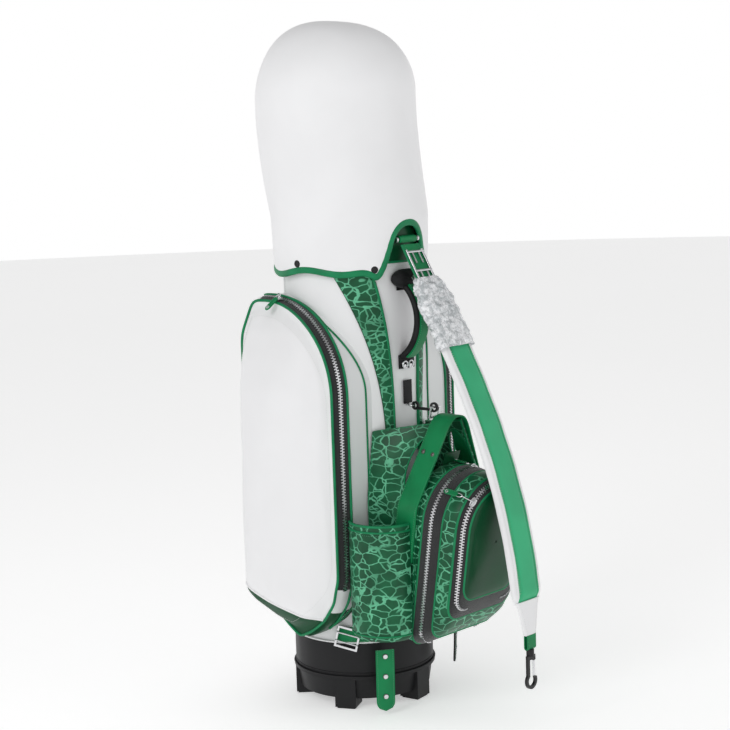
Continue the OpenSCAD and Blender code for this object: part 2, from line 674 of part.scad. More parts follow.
// rows run from the rim (0) to the crown (1); the dome takes the last third
function hood_point(a, v, d) = let (z0 = hood_rim_z(a), zs = 1168,
    w = min(v / 0.55, 1), q = max(0, (v - 0.55) / 0.45) * 90,
    z = v < 0.55 ? z0 + (zs - z0) * w : zs + (hood_top - d - zs) * sin(q),
    r = (hood_r(min(z, zs)) - d) * (v < 0.55 ? 1 : pow(cos(min(q, 89.9)), 0.62)))
    [-r * sin(a), hood_shift(z) - r * cos(a), z - crown_slope * r * cos(a) * sin(q)];
hood_cols = 60;
function hood_angle(i) = let (u = 360 * i / hood_cols) u - 24 * sin(u);
module hood_shell() {
    rows = 13;
    n = hood_cols;
    vs = [for (k = [0:rows - 1]) k < 7 ? 0.55 * k / 6 : 0.55 + 0.45 * (k - 6) / 6.6];
    outer = [for (v = vs) each [for (i = [0:n - 1]) hood_point(hood_angle(i), v, 0)]];
    inner = [for (v = vs) each [for (i = [0:n - 1]) hood_point(hood_angle(i), v, hood_wall)]];
    o = n * rows;
    wall = [for (k = [0:rows - 2], i = [0:n - 1]) let (j = (i + 1) % n)
        each [[k * n + i, k * n + j, (k + 1) * n + j], [k * n + i, (k + 1) * n + j, (k + 1) * n + i]]];
    lining = [for (f = wall) [o + f[0], o + f[2], o + f[1]]];
    rim = [for (i = [0:n - 1]) let (j = (i + 1) % n) each [[i, o + j, j], [i, o + i, o + j]]];
    top = (rows - 1) * n;
    crown = [for (i = [0:n - 1]) [top + i, top + (i + 1) % n, 2 * o]];
    ceiling = [for (i = [0:n - 1]) [o + top + i, 2 * o + 1, o + top + (i + 1) % n]];
    color(white) polyhedron(
        points = concat(outer, inner, [[0, hood_shift(hood_top), hood_top],
            [0, hood_shift(hood_top), hood_top - hood_wall]]),
        faces = concat(wall, lining, rim, crown, ceiling));
}
// green binding along the rim, a square-edged strip a little outside the shell
binding_h = 10;
module hood_binding() {
    n = 2 * hood_cols;
    function p(i, r, up) = let (a = hood_angle(i / 2), z = hood_rim_z(a) + up)
        [-(hood_r(z) + r) * sin(a), hood_shift(z) - (hood_r(z) + r) * cos(a), z];
    ring = [for (c = [[2.4, -3], [2.4, binding_h], [0.6, binding_h], [0.6, -3]])
        each [for (i = [0:n - 1]) p(i, c[0], c[1])]];
    color(trim_green) polyhedron(points = ring,
        faces = [for (k = [0:3], i = [0:n - 1]) let (j = (i + 1) % n, m = (k + 1) % 4)
            each [[k * n + i, k * n + j, m * n + j], [k * n + i, m * n + j, m * n + i]]]);
}
snap_angles = [30, 90, 150, 210, 270, 330];
module hood_snaps() {
    color(black) for (a = snap_angles) {
        z = hood_rim_z(a) + 6;
        translate([0, hood_shift(z), 0]) at(a, z) translate([0, -hood_r(z) - 5, 0])
            rotate([90, 0, 0]) cylinder(r = 6, h = 3, center = true, $fn = 32);
    }
}

// ---------- rivets ----------
module rivet(r, h) { rotate([90, 0, 0]) cylinder(r = r, h = h, $fn = 32); }
module rivets() {
    color(steel) {
        for (x = [-8, 8])
            translate([x, -body_r - 3, handle_z[0] - 9]) rivet(3.5, 3);
        for (side = [-1, 1])
            mirrored(side) {
                for (k = [0:2])
                    at(tongue_a, 0) translate([0, -tongue_r, 0]) rotate([2.5, 0, 0])
                        translate([0, -tongue_t - 0.05, (side < 0 ? 36 : 80) + k * (side < 0 ? 38 : 26)])
                            rivet(4, 2.5);
            }
    }
}

base_cup();
base_feet();
base_band();
body_tube();
stay_rods();
front_panel();
side_panel(-1);  // side_panel_left
side_panel(1);  // side_panel_right
spine_panel();
pattern_panel(-1);  // pattern_panel_left
pattern_panel(1);  // pattern_panel_right
top_cuff();
club_divider();
garment_gusset(-1);  // garment_gusset_left
garment_gusset(1);  // garment_gusset_right
garment_zip(-1);  // garment_zip_left
garment_zip(1);  // garment_zip_right
garment_face(-1);  // garment_face_left
garment_face(1);  // garment_face_right
garment_slider(-1);  // garment_slider_left
garment_slider(1);  // garment_slider_right
garment_puller(-1);  // garment_puller_left
garment_puller(1);  // garment_puller_right
ball_gusset_rear();
ball_zip_rear();
ball_gusset_middle();
ball_zip_front();
ball_face();
ball_slider_rear();
ball_slider_front();
ball_puller_rear();
ball_puller_front();
harness_wing(-1);  // harness_wing_left
harness_wing(1);  // harness_wing_right
harness_strap();
harness_ring();
bottle_pouch(-1);  // bottle_pouch_left
bottle_pouch(1);  // bottle_pouch_right
handle_base();
handle_grip();
handle_cap();
tether_tab();
tether_clip();
lower_belt(-1);  // lower_belt_left
lower_belt(1);  // lower_belt_right
belt_buckle(-1);  // belt_buckle_left
belt_buckle(1);  // belt_buckle_right
rivets();
strap_anchor();
strap_belt();
strap_buckle();
strap_pad();
strap_wrap();
strap_end();
hook_body();
hook_gate();
hood_shell();
hood_binding();
hood_snaps();
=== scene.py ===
"""Golf staff bag: the finished look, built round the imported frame. Sizes in the making are in millimetres."""

import math

import bmesh
import bpy
import numpy as np
from bpy.props import FloatProperty, FloatVectorProperty, PointerProperty
from mathutils import Matrix, Vector, noise


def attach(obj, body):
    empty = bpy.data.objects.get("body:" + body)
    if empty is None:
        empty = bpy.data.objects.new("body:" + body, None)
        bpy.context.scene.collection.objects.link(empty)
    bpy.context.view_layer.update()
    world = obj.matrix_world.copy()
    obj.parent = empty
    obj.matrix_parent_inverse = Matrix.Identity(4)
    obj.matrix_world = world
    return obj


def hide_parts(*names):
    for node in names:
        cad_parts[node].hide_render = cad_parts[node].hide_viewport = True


bl_info = {
    "name": "Golf Staff Bag",
    "version": (1, 0, 0),
    "blender": (4, 5, 0),
    "location": "3D View > Sidebar > Golf Bag",
    "description": "Leather, zips, straps and hardware for a golf staff bag",
    "category": "Add Mesh",
}

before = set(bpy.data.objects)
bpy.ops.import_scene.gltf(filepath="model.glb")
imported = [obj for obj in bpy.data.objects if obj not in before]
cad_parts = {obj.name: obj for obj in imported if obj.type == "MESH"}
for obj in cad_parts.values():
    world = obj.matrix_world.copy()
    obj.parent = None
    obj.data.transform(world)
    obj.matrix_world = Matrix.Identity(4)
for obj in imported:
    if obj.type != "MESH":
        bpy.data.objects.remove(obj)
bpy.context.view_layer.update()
# the left and the right side, as signs of X
SIDES = (-1, 1)

# sizes shared with the frame, in millimetres
BODY_R = 127.0
PANEL_TOP = 822.0
BAND_TOP = 125.0
CRESCENT_FOOT = 470.0
BACK_SEAM = 124

# garment pocket: X where its zip starts, and the arc over its top with its centre in Y and Z
GUSSET_EDGE = 136.0
GARMENT_Y, GARMENT_Z = 70.0, 590.0
GARMENT_R = 175.0
GREEN_BELOW = 190.0

# ball pocket: half width, height where its arch starts, lean, and the Y and Z that it leans about
BALL_HALF = 88.0
BALL_SPRING = 372.0
BALL_LEAN = math.radians(9)
LEAN_Y, LEAN_Z = -205.0, 200.0
BALL_FRONT = -281.0
WING_X = BALL_HALF + 1.6
WING_ROOT_Y = -106.2

# bottle pouch: centre in X and Y, radius, foot and rim
POUCH = (-98.0, -148.0)
POUCH_R = 62.0
POUCH_FOOT, POUCH_RIM = 152.0, 364.0

# hood: crown, rim at the sides, rim beside the strap's arch, top of that arch, shoulder, the share of its
# rows that make its wall, and the angle of its side seams
HOOD_TOP = 1256.0
HOOD_RIM = 806.0
HOOD_FOOT = 784.0
HOOD_ARCH = 890.0
HOOD_SHOULDER = 1122.0
HOOD_WALL = 0.55
HOOD_SEAM = 127

# shoulder strap: belt width, and the pad's half width and half thickness
BELT_WIDTH = 45.0
PAD_HALF, PAD_THICK = 38.0, 9.4

# a domed rivet's profile: distances from its axis and along it
RIVET = ((4.2, 0), (4.2, 0.9), (3.0, 1.9), (1.2, 2.3))


# ---------- sizes and colours ----------
def length(name, text, value, low, high):
    """A size in metres that a user may change."""
    return FloatProperty(
        name=name, description=text, default=value, min=low, max=high, unit="LENGTH", precision=4
    )


def colour(name, text, value):
    """A linear colour that a user may change."""
    return FloatVectorProperty(
        name=name, description=text, default=value, subtype="COLOR", size=3, min=0, max=1
    )


class BagSizes(bpy.types.PropertyGroup):
    """Small sizes of the sewing and the hardware"""

    piping: length("Piping", "Radius of the leather piping in the seams", 0.0024, 0.001, 0.004)
    tooth_pitch: length("Tooth pitch", "Distance between zip teeth", 0.0026, 0.0015, 0.006)
    tooth_width: length("Tooth width", "Width of the row of zip teeth", 0.0085, 0.003, 0.012)
    stitch_pitch: length("Stitch pitch", "Distance between stitches", 0.0042, 0.002, 0.008)
    stitch_radius: length("Stitch thickness", "Radius of the sewing thread", 0.00042, 0.0002, 0.001)
    grain: length("Leather grain", "Size of the pebbles in the leather's grain", 0.0016, 0.0006, 0.004)
    line_cell: length("Contour cell", "Size of the cells in the printed contour pattern", 0.023, 0.01, 0.06)


class BagColours(bpy.types.PropertyGroup):
    """Colours of the leathers, tapes and metals"""

    white: colour("White leather", "Body, pockets and hood", (0.84, 0.84, 0.85))
    pattern: colour("Pattern ground", "Ground of the contour pattern", (0.003, 0.085, 0.032))
    contour: colour("Pattern line", "Lines of the contour pattern", (0.13, 0.50, 0.29))
    deep: colour("Deep green", "Ball pocket and cuff", (0.0015, 0.060, 0.020))
    belt: colour("Belt green", "Belts, arch and pull tabs", (0.003, 0.200, 0.065))
    bright: colour("Pad green", "Shoulder pad", (0.040, 0.420, 0.195))
    trim: colour("Piping green", "Piping and binding", (0.006, 0.205, 0.078))
    black: colour("Black leather", "Handle and tabs", (0.010, 0.010, 0.011))
    plastic: colour("Black plastic", "Base and liner", (0.008, 0.008, 0.009))
    steel: colour("Polished metal", "Buckles, teeth and rings", (0.74, 0.74, 0.76))


def sizes():
    """The bag's small sizes."""
    return bpy.context.scene.bag_sizes


def colours():
    """The bag's colours."""
    return bpy.context.scene.bag_colours


# ---------- shader maths ----------
class Value:
    """A node's output. Sums written with it add Math nodes."""

    def __init__(self, maker, socket):
        self.maker, self.socket = maker, socket

    def math(self, operation, *others):
        return self.maker.node("ShaderNodeMath", {"operation": operation}, dict(enumerate((self, *others))))

    def __add__(self, other):
        return self.math("ADD", other)

    __radd__ = __add__

    def __mul__(self, other):
        return self.math("MULTIPLY", other)

    __rmul__ = __mul__

    def __sub__(self, other):
        return self.math("SUBTRACT", other)

    def __rsub__(self, other):
        return self.maker.node("ShaderNodeMath", {"operation": "SUBTRACT"}, {0: other, 1: self})

    def __abs__(self):
        return self.math("ABSOLUTE")

    def sine(self):
        return self.math("SINE")

    def most(self, other):
        return self.math("MAXIMUM", other)

    def ease(self, low, high, start=0.0, end=1.0):
        """Goes smoothly from start to end as this goes from low to high."""
        return self.maker.node(
            "ShaderNodeMapRange",
            {"interpolation_type": "SMOOTHSTEP"},
            {"Value": self, "From Min": low, "From Max": high, "To Min": start, "To Max": end},
        )


class Finish:
    """One material: its shader, the place on the object, and a way to add nodes."""

    def __init__(self, name, **fixed):
        self.material = bpy.data.materials.new("bag_" + name)
        self.material.use_nodes = True
        self.tree = self.material.node_tree
        self.shader = self.tree.nodes["Principled BSDF"]
        for socket, value in fixed.items():
            self.shader.inputs[socket.replace("_", " ")].default_value = value
        self.place = self.node("ShaderNodeTexCoord", output="Object")

    def node(self, kind, settings=None, sockets=None, output=0):
        """Adds a node with its settings first and then its sockets' values or links."""
        made = self.tree.nodes.new(kind)
        for key, value in (settings or {}).items():
            setattr(made, key, value)
        for key, value in (sockets or {}).items():
            if isinstance(value, Value):
                self.tree.links.new(value.socket, made.inputs[key])
            else:
                made.inputs[key].default_value = value
        return Value(self, made.outputs[output])

    def noise(self, size, detail=2.0, rough=0.5, place=None):
        """Soft noise from 0 to 1 with patches of the given size in metres."""
        sockets = {"Vector": place or self.place, "Scale": 1 / size, "Detail": detail, "Roughness": rough}
        return self.node("ShaderNodeTexNoise", None, sockets)

    def cells(self, size, feature="F1", place=None):
        """Distance in a net of cells of the given size in metres."""
        sockets = {"Vector": place or self.place, "Scale": 1 / size}
        return self.node("ShaderNodeTexVoronoi", {"feature": feature}, sockets)

    def stretched(self, up):
        """The place with its height scaled."""
        return self.node("ShaderNodeMapping", None, {"Vector": self.place, "Scale": (1, 1, up)})

    def parts(self):
        """The place's three numbers, apart."""
        split = self.node("ShaderNodeSeparateXYZ", None, {0: self.place}).socket.node
        return [Value(self, split.outputs[i]) for i in range(3)]

    def warped(self, size, amount, place=None):
        """The place pushed about by soft noise, by the amount in metres."""
        sockets = {"Vector": place or self.place, "Scale": 1 / size, "Detail": 1.5}
        push = self.node("ShaderNodeTexNoise", None, sockets, "Color")
        centred = self.node("ShaderNodeVectorMath", {"operation": "SUBTRACT"}, {0: push, 1: (0.5, 0.5, 0.5)})
        small = self.node("ShaderNodeVectorMath", {"operation": "SCALE"}, {0: centred, "Scale": 2 * amount})
        return self.node("ShaderNodeVectorMath", {"operation": "ADD"}, {0: place or self.place, 1: small})

    def mix(self, share, first, second):
        """A colour between two others."""
        shade = [v if isinstance(v, Value) else (*v, 1.0) for v in (first, second)]
        return self.node("ShaderNodeMix", {"data_type": "RGBA"}, {0: share, 6: shade[0], 7: shade[1]}, 2)

    def feed(self, **values):
        """Links values to the shader's own sockets."""
        for socket, value in values.items():
            self.tree.links.new(value.socket, self.shader.inputs[socket.replace("_", " ")])
        return self

    def relief(self, height, depth):
        """Raises the surface by height times depth in metres."""
        sockets = {"Height": height, "Strength": 1.0, "Distance": depth}
        bump = self.node("ShaderNodeBump", None, sockets, "Normal")
        return self.feed(Normal=bump)


# distance between the threads of woven tape, in metres
THREAD_PITCH = 0.0011


def shade_of(base, factor):
    """A colour made darker or lighter."""
    return tuple(min(1.0, c * factor) for c in base)


# each leather's colour, roughness, coat, depth of its grain and size of its patches, both in metres, and how
# far the patches differ in tone
LEATHERS = {
    "white_leather": ("white", 0.42, 0.06, 0.00007, 0.12, 0.015),
    "deep_leather": ("deep", 0.30, 0.10, 0.00007, 0.06, 0.12),
    "belt_leather": ("belt", 0.40, 0.04, 0.00008, 0.04, 0.12),
    "bright_leather": ("bright", 0.40, 0.03, 0.00007, 0.10, 0.08),
    "trim_leather": ("trim", 0.40, 0.03, 0.00006, 0.03, 0.12),
    "black_leather": ("black", 0.52, 0.0, 0.00014, 0.02, 0.35),
}


def leather(name, hue, roughness, coat, depth, patch, spread):
    """Synthetic leather: fine pebbled grain, soft creases and slightly uneven colour and gloss."""
    base = getattr(colours(), hue)
    made = Finish(name, Coat_Weight=coat, Coat_Roughness=0.3, Specular_IOR_Level=0.22)
    size = sizes().grain
    pebbles = made.cells(size, place=made.warped(size * 3, size * 0.5))
    pores = made.noise(size * 0.5, 2.0)
    creases = made.noise(0.03, 4.0, 0.6)
    tone = made.noise(patch, 3.0)
    made.feed(
        Base_Color=made.mix(tone.ease(0.3, 0.7), shade_of(base, 1 - spread), shade_of(base, 1 + spread)),
        Roughness=pores * 0.06 + tone.ease(0.25, 0.75, roughness - 0.04, roughness + 0.03),
    )
    return made.relief(pebbles * 0.7 + pores * 0.25 + creases * 1.6, depth)


def face_leather(name):
    """The garment face's leather: white, and deep green below its piping."""
    made = leather(name, *LEATHERS["white_leather"])
    _, away, up = made.parts()
    below = (up - away * 0.42).ease(0.2068, 0.2072, 1.0, 0.0)
    was = Value(made, made.shader.inputs["Base Color"].links[0].from_socket)
    return made.feed(Base_Color=made.mix(below, was, colours().deep))


def contour_leather(name):
    """Printed leather: pale winding outlines with branches on a dark green ground, under a soft sheen."""
    made = Finish(name, Coat_Weight=0.06, Coat_Roughness=0.3, Specular_IOR_Level=0.25)
    cell = sizes().line_cell
    flat = made.stretched(1.45)
    bent = made.warped(cell * 1.5, cell * 0.42, made.warped(cell * 0.55, cell * 0.11, flat))
    edge = made.cells(cell, "DISTANCE_TO_EDGE", bent)
    hill = made.noise(cell * 2.2, 1.0, 0.5, bent)
    ring = abs(hill.math("MULTIPLY", 5.0).math("FRACT") - 0.5)
    net = edge.ease(0.030, 0.062, 1.0, 0.0)
    loops = ring.ease(0.05, 0.11, 1.0, 0.0) * made.noise(cell * 3.0, 1.0).ease(0.50, 0.56)
    line = net.most(loops)
    palette = colours()
    tone = made.noise(0.05, 3.0)
    ground = made.mix(tone.ease(0.3, 0.7), shade_of(palette.pattern, 0.72), shade_of(palette.pattern, 1.35))
    fade = made.noise(0.04, 2.0).ease(0.3, 0.65, 0.45, 1.0)
    size = sizes().grain
    pores = made.noise(size * 0.5, 2.0)
    made.feed(
        Base_Color=made.mix(line * fade, ground, palette.contour),
        Roughness=pores * 0.08 + tone.ease(0.25, 0.75, 0.30, 0.40),
    )
    return made.relief(made.cells(size) * 0.6 + pores * 0.2 + line * 1.5, 0.00010)


def moulded(name, base, roughness=0.42):
    """Moulded plastic: fine spark texture with faint flow marks."""
    made = Finish(name, Specular_IOR_Level=0.25)
    spark = made.noise(0.0009, 3.0)
    flow = made.noise(0.05, 2.0, place=made.stretched(0.3))
    made.feed(
        Base_Color=made.mix(flow, shade_of(base, 0.8), shade_of(base, 1.6)),
        Roughness=spark * 0.15 + flow.ease(0.2, 0.8, roughness - 0.08, roughness + 0.05),
    )
    return made.relief(spark, 0.00008)


def woven(name, base):
    """Woven tape: crossing threads in two directions."""
    made = Finish(name, Roughness=0.8, Sheen_Weight=0.3)
    across, away, up = made.parts()
    turn = 2 * math.pi / THREAD_PITCH
    weft = (across + away * 0.9) * turn
    warp = up * turn
    weave = weft.sine() * warp.sine()
    fluff = made.noise(0.002, 3.0)
    light = weave.ease(-1, 1) * 0.7 + fluff * 0.3
    made.feed(Base_Color=made.mix(light, shade_of(base, 0.6), shade_of(base, 2.0)))
    return made.relief(weave + fluff, 0.00012)


def polished(name, base, roughness=0.16, metallic=1.0):
    """Plated metal with faint scratches and cloudy patches."""
    made = Finish(name, Metallic=metallic)
    scratch = made.noise(0.0015, 3.0, 0.6, made.stretched(12))
    cloud = made.noise(0.012, 2.0)
    made.feed(
        Base_Color=made.mix(cloud, shade_of(base, 0.82), shade_of(base, 1.08)),
        Roughness=scratch * 0.12 + cloud.ease(0.2, 0.8, roughness, roughness + 0.1),
    )
    return made.relief(scratch, 0.00003)


def thread(name, base):
    """Sewing thread: fine twist along each stitch."""
    made = Finish(name, Sheen_Weight=0.2)
    twist = made.noise(0.0007, 2.0)
    shade = made.mix(twist, shade_of(base, 0.8), shade_of(base, 1.1))
    made.feed(Base_Color=shade, Roughness=twist * 0.2 + 0.5)
    return made.relief(twist, 0.0001)


def fleece(name, base):
    """Short fleece on the club divider."""
    made = Finish(name, Roughness=0.95, Sheen_Weight=0.5)
    pile = made.noise(0.0016, 4.0, 0.7)
    made.feed(Base_Color=made.mix(pile, shade_of(base, 0.5), shade_of(base, 2.2)))
    return made.relief(pile, 0.0006)


def wrapping(name):
    """Thin cloudy wrapping film: crinkled and glossy, with painted sheen streaks along its folds where it turns
    nearly white and more opaque.
    """
    made = Finish(name, IOR=1.45, Coat_Weight=0.6, Coat_Roughness=0.08, Specular_IOR_Level=0.6)
    fold = made.noise(0.014, 5.0, 0.65, made.warped(0.03, 0.01))
    crack = made.cells(0.011, "DISTANCE_TO_EDGE", made.warped(0.012, 0.006))
    # painted sheen: the film's colour goes nearly white, and the film more opaque, along streaks that follow
    # the fold noise
    painted_sheen_streaks = fold.ease(0.35, 0.62)
    made.feed(
        Base_Color=made.mix(painted_sheen_streaks, (0.62, 0.66, 0.68), (0.93, 0.94, 0.96)),
        Roughness=fold.ease(0.3, 0.7, 0.12, 0.34),
        Alpha=painted_sheen_streaks * 0.3 + crack.ease(0.0, 0.12, 0.20, 0.0) + 0.62,
    )
    return made.relief(fold * 1.0 + crack.ease(0.0, 0.25), 0.0012)


FINISHES = {
    **{name: lambda name: leather(name, *LEATHERS[name]) for name in LEATHERS},
    "face_leather": face_leather,
    "pattern_leather": contour_leather,
    "base_plastic": lambda name: moulded(name, colours().plastic),
    "liner_plastic": lambda name: moulded(name, (0.03, 0.03, 0.03), 0.5),
    "zip_tape": lambda name: woven(name, (0.008, 0.008, 0.009)),
    "metal": lambda name: polished(name, colours().steel),
    "dark_metal": lambda name: polished(name, (0.16, 0.15, 0.14), 0.25),
    "black_metal": lambda name: polished(name, (0.012, 0.012, 0.013), 0.22, 0.35),
    "white_thread": lambda name: thread(name, (0.75, 0.76, 0.75)),
    "pale_thread": lambda name: thread(name, (0.10, 0.36, 0.20)),
    "divider_cloth": lambda name: fleece(name, (0.02, 0.05, 0.035)),
    "film": wrapping,
}
MADE = {}


def finish(name):
    """The material of that name, made when it is first wanted."""
    if name not in MADE:
        MADE[name] = FINISHES[name](name).material
    return MADE[name]


def dress(node, name):
    """Gives a piece of the frame its finish."""
    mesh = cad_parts[node].data
    mesh.materials.clear()
    mesh.materials.append(finish(name))


# ---------- mesh making, in millimetres ----------
def smooth(t):
    """Goes gently from 0 to 1 as t does."""
    t = np.clip(t, 0, 1)
    return t * t * (3 - 2 * t)


def unit(v):
    """Vectors with length 1."""
    return v / np.maximum(np.linalg.norm(v, axis=-1, keepdims=True), 1e-9)


def run(path, closed=False):
    """Distances along a path, from 0 to its whole length."""
    path = np.asarray(path, float)
    path = np.vstack([path, path[:1]]) if closed else path
    return np.concatenate([[0], np.cumsum(np.linalg.norm(np.diff(path, axis=0), axis=1))])


def resample(path, count, closed=False):
    """The path as count points at even distances."""
    along = run(path, closed)
    path = np.vstack([path, path[:1]]) if closed else np.asarray(path, float)
    want = np.linspace(0, along[-1], count + 1)[:-1] if closed else np.linspace(0, along[-1], count)
    return np.column_stack([np.interp(want, along, path[:, k]) for k in range(path.shape[1])])


def rounded(path, reach, count, closed=True):
    """The path with its corners rounded over the reach, as count points."""
    fine = resample(path, count, closed)
    step = run(fine, closed)[-1] / count
    width = max(1, round(reach / step / 2))
    for _ in range(2):
        if closed:
            fine = sum(np.roll(fine, k, 0) for k in range(-width, width + 1)) / (2 * width + 1)
        else:
            held = np.vstack([fine[:1].repeat(width, 0), fine, fine[-1:].repeat(width, 0)])
            mean = sum(held[k : k + len(fine)] for k in range(2 * width + 1)) / (2 * width + 1)
            mean[0], mean[-1] = fine[0], fine[-1]
            fine = mean
    return fine


def bezier(points, t):
    """Points of a cubic curve at t."""
    t = np.asarray(t, float)[..., None]
    a, b, c, d = (np.asarray(p, float) for p in points)
    return (1 - t) ** 3 * a + 3 * t * (1 - t) ** 2 * b + 3 * t * t * (1 - t) * c + t**3 * d


def frames(path, closed=False, out=None):
    """Directions along a path, across it and out of it. Without out, they turn as little as they can."""
    step = (np.roll(path, -1, 0) - np.roll(path, 1, 0)) if closed else np.gradient(path, axis=0)
    along = unit(step)
    if out is None:
        last = np.array([0.31, 0.17, 0.93])
        found = []
        for direction in along:
            last = unit(last - direction * (last @ direction))
            found.append(last)
        out = np.array(found)
    out = np.broadcast_to(np.asarray(out, float), path.shape)
    across = unit(np.cross(along, out))
    return along, across, unit(np.cross(across, along))


def turns(count):
    """Angles evenly round a circle."""
    return np.arange(count) * 2 * np.pi / count


def boxy(a, power):
    """Points at angles on a round outline, squared off by the power."""
    c, s = np.cos(a), np.sin(a)
    return np.sign(c) * np.abs(c) ** power, np.sign(s) * np.abs(s) ** power


def circle(radius, count=8):
    """A round outline."""
    a = turns(count)
    return radius * np.column_stack([np.cos(a), np.sin(a)])


def pill(width, height, count=14, square=0.4):
    """An outline with straight sides and round corners, width across and height out."""
    x, y = boxy(turns(count) + np.pi / count, square)
    return np.column_stack([width / 2 * x, height / 2 * y])


def round_body(r, angle, z):
    """Points at an angle in degrees round the bag, from the front towards the left."""
    a = np.radians(np.asarray(angle, float))
    r, a, z = np.broadcast_arrays(r, a, z)
    return np.stack([-r * np.sin(a), -r * np.cos(a), z], -1).astype(float)


class Shape:
    """Points and faces of one piece. Each face carries the number of its finish."""

    def __init__(self, *finishes):
        self.finishes = finishes
        self.points = []
        self.faces = []
        self.marks = []

    def add(self, points, faces, mark=0):
        """Adds points and the faces between them."""
        start = len(self.points)
        self.points.extend(np.asarray(points, float).tolist())
        self.faces.extend([start + i for i in face] for face in faces)
        self.marks.extend([mark] * len(faces) if np.isscalar(mark) else mark)
        return self

    def grid(self, rows, mark=0, loop_rows=False, loop_cols=False, capped=False):
        """A sheet through rows of points. mark may depend on the row and column."""
        rows = np.asarray(rows, float)
        n, m = rows.shape[:2]
        cells = [(i, j) for i in range(n if loop_rows else n - 1) for j in range(m if loop_cols else m - 1)]
        faces = []
        for i, j in cells:
            up, side = (i + 1) % n, (j + 1) % m
            faces.append([i * m + j, i * m + side, up * m + side, up * m + j])
        marks = [mark(i, j) if callable(mark) else mark for i, j in cells]
        if capped:
            faces += [list(range(m))[::-1], [(n - 1) * m + j for j in range(m)]]
            marks += [marks[0], marks[-1]]
        return self.add(rows.reshape(-1, 3), faces, marks)

    def plate(self, rows, thick, mark=0, loop_rows=False, loop_cols=False):
        """A sheet with thickness behind it and closed edges."""
        rows = np.asarray(rows, float)
        down = np.roll(rows, -1, 0) - np.roll(rows, 1, 0) if loop_rows else np.gradient(rows, axis=0)
        side = np.roll(rows, -1, 1) - np.roll(rows, 1, 1) if loop_cols else np.gradient(rows, axis=1)
        back = rows - unit(np.cross(side, down)) * thick
        self.grid(rows, mark, loop_rows, loop_cols)
        self.grid(back, mark, loop_rows, loop_cols)
        rim = mark(0, 0) if callable(mark) else mark
        edges = [] if loop_rows else [([rows[k], back[k]], loop_cols) for k in (0, -1)]
        edges += [] if loop_cols else [([rows[:, k], back[:, k]], loop_rows) for k in (0, -1)]
        for pair, closed in edges:
            self.grid(pair, rim, False, closed)
        return self

    def sweep(self, path, profile, mark=0, closed=False, out=None):
        """A solid along a path, with a profile given across it and out of it."""
        path = np.asarray(path, float)
        _, across, away = frames(path, closed, out)
        profile = np.asarray(profile, float)
        if profile.ndim == 2:
            profile = np.broadcast_to(profile, (len(path), *profile.shape))
        rows = path[:, None] + across[:, None] * profile[..., :1] + away[:, None] * profile[..., 1:]
        return self.grid(rows, mark, closed, True, not closed)

    def tube(self, path, radius, mark=0, closed=False, count=8, out=None):
        """A round cord along a path, with one radius or one for each point."""
        radius = np.broadcast_to(np.asarray(radius, float), (len(path),))
        return self.sweep(path, circle(1.0, count)[None] * radius[:, None, None], mark, closed, out)

    def lathe(self, centre, axis, profile, mark=0, count=24):
        """A turned solid. Its profile gives distances from the axis and along it."""
        axis = unit(np.asarray(axis, float))
        side = unit(np.cross(axis, (0.3, 0.5, 0.8) if abs(axis[2]) < 0.9 else (1.0, 0.0, 0.0)))
        other = np.cross(axis, side)
        a = turns(count)
        ring = np.cos(a)[:, None] * side + np.sin(a)[:, None] * other
        rows = [np.asarray(centre) + axis * h + ring * r for r, h in profile]
        return self.grid(rows, mark, False, True, True)

    def spaced(self, path, out, pitch, closed):
        """Places at a pitch along a path, with their directions along, across and out."""
        count = max(2, round(run(path, closed)[-1] / pitch))
        spots = resample(path, count, closed)
        out = np.asarray(out, float)
        if out.ndim == 2:
            out = resample(out, count, closed)
        return list(zip(spots, *frames(spots, closed, out)))

    def stitches(self, path, out, mark, closed=False):
        """A line of stitches on a path, each a thin spindle sunk a little at its ends."""
        pitch, radius, lift = sizes().stitch_pitch * 1000, sizes().stitch_radius * 1000, 0.25
        half = pitch * 0.36
        faces = [[0, k, k % 4 + 1] for k in (1, 2, 3, 4)] + [[5, k % 4 + 1, k] for k in (1, 2, 3, 4)]
        for spot, along, across, away in self.spaced(path, out, pitch, closed):
            girth = [across * radius, away * radius * 1.3, -across * radius, -away * radius]
            tips = [along * half, *girth, -along * half]
            self.add([spot + away * lift + tip for tip in tips], faces, mark)
        return self

    def teeth(self, path, out, mark, closed=False):
        """A row of zip teeth on a path, from the two tapes in turn."""
        pitch, width = sizes().tooth_pitch * 1000, sizes().tooth_width * 1000
        faces = [[0, 1, 2, 3], [4, 5, 6, 7], [0, 1, 5, 4], [1, 2, 6, 5], [2, 3, 7, 6], [3, 0, 4, 7]]
        for k, (spot, along, across, away) in enumerate(self.spaced(path, out, pitch, closed)):
            side = 1 if k % 2 else -1
            head, root = (-0.12 * width * side, 0.46 * pitch), (0.5 * width * side, 0.36 * pitch)
            corners = [(head, -1), (root, -1), (root, 1), (head, 1)]
            points = [
                spot + across * place + along * end * half + away * height
                for height in (-0.6, 1.1)
                for (place, half), end in corners
            ]
            self.add(points, faces, mark)
        return self

    def mirrored(self):
        """The same for the bag's other side."""
        self.points = [[-x, y, z] for x, y, z in self.points]
        return self

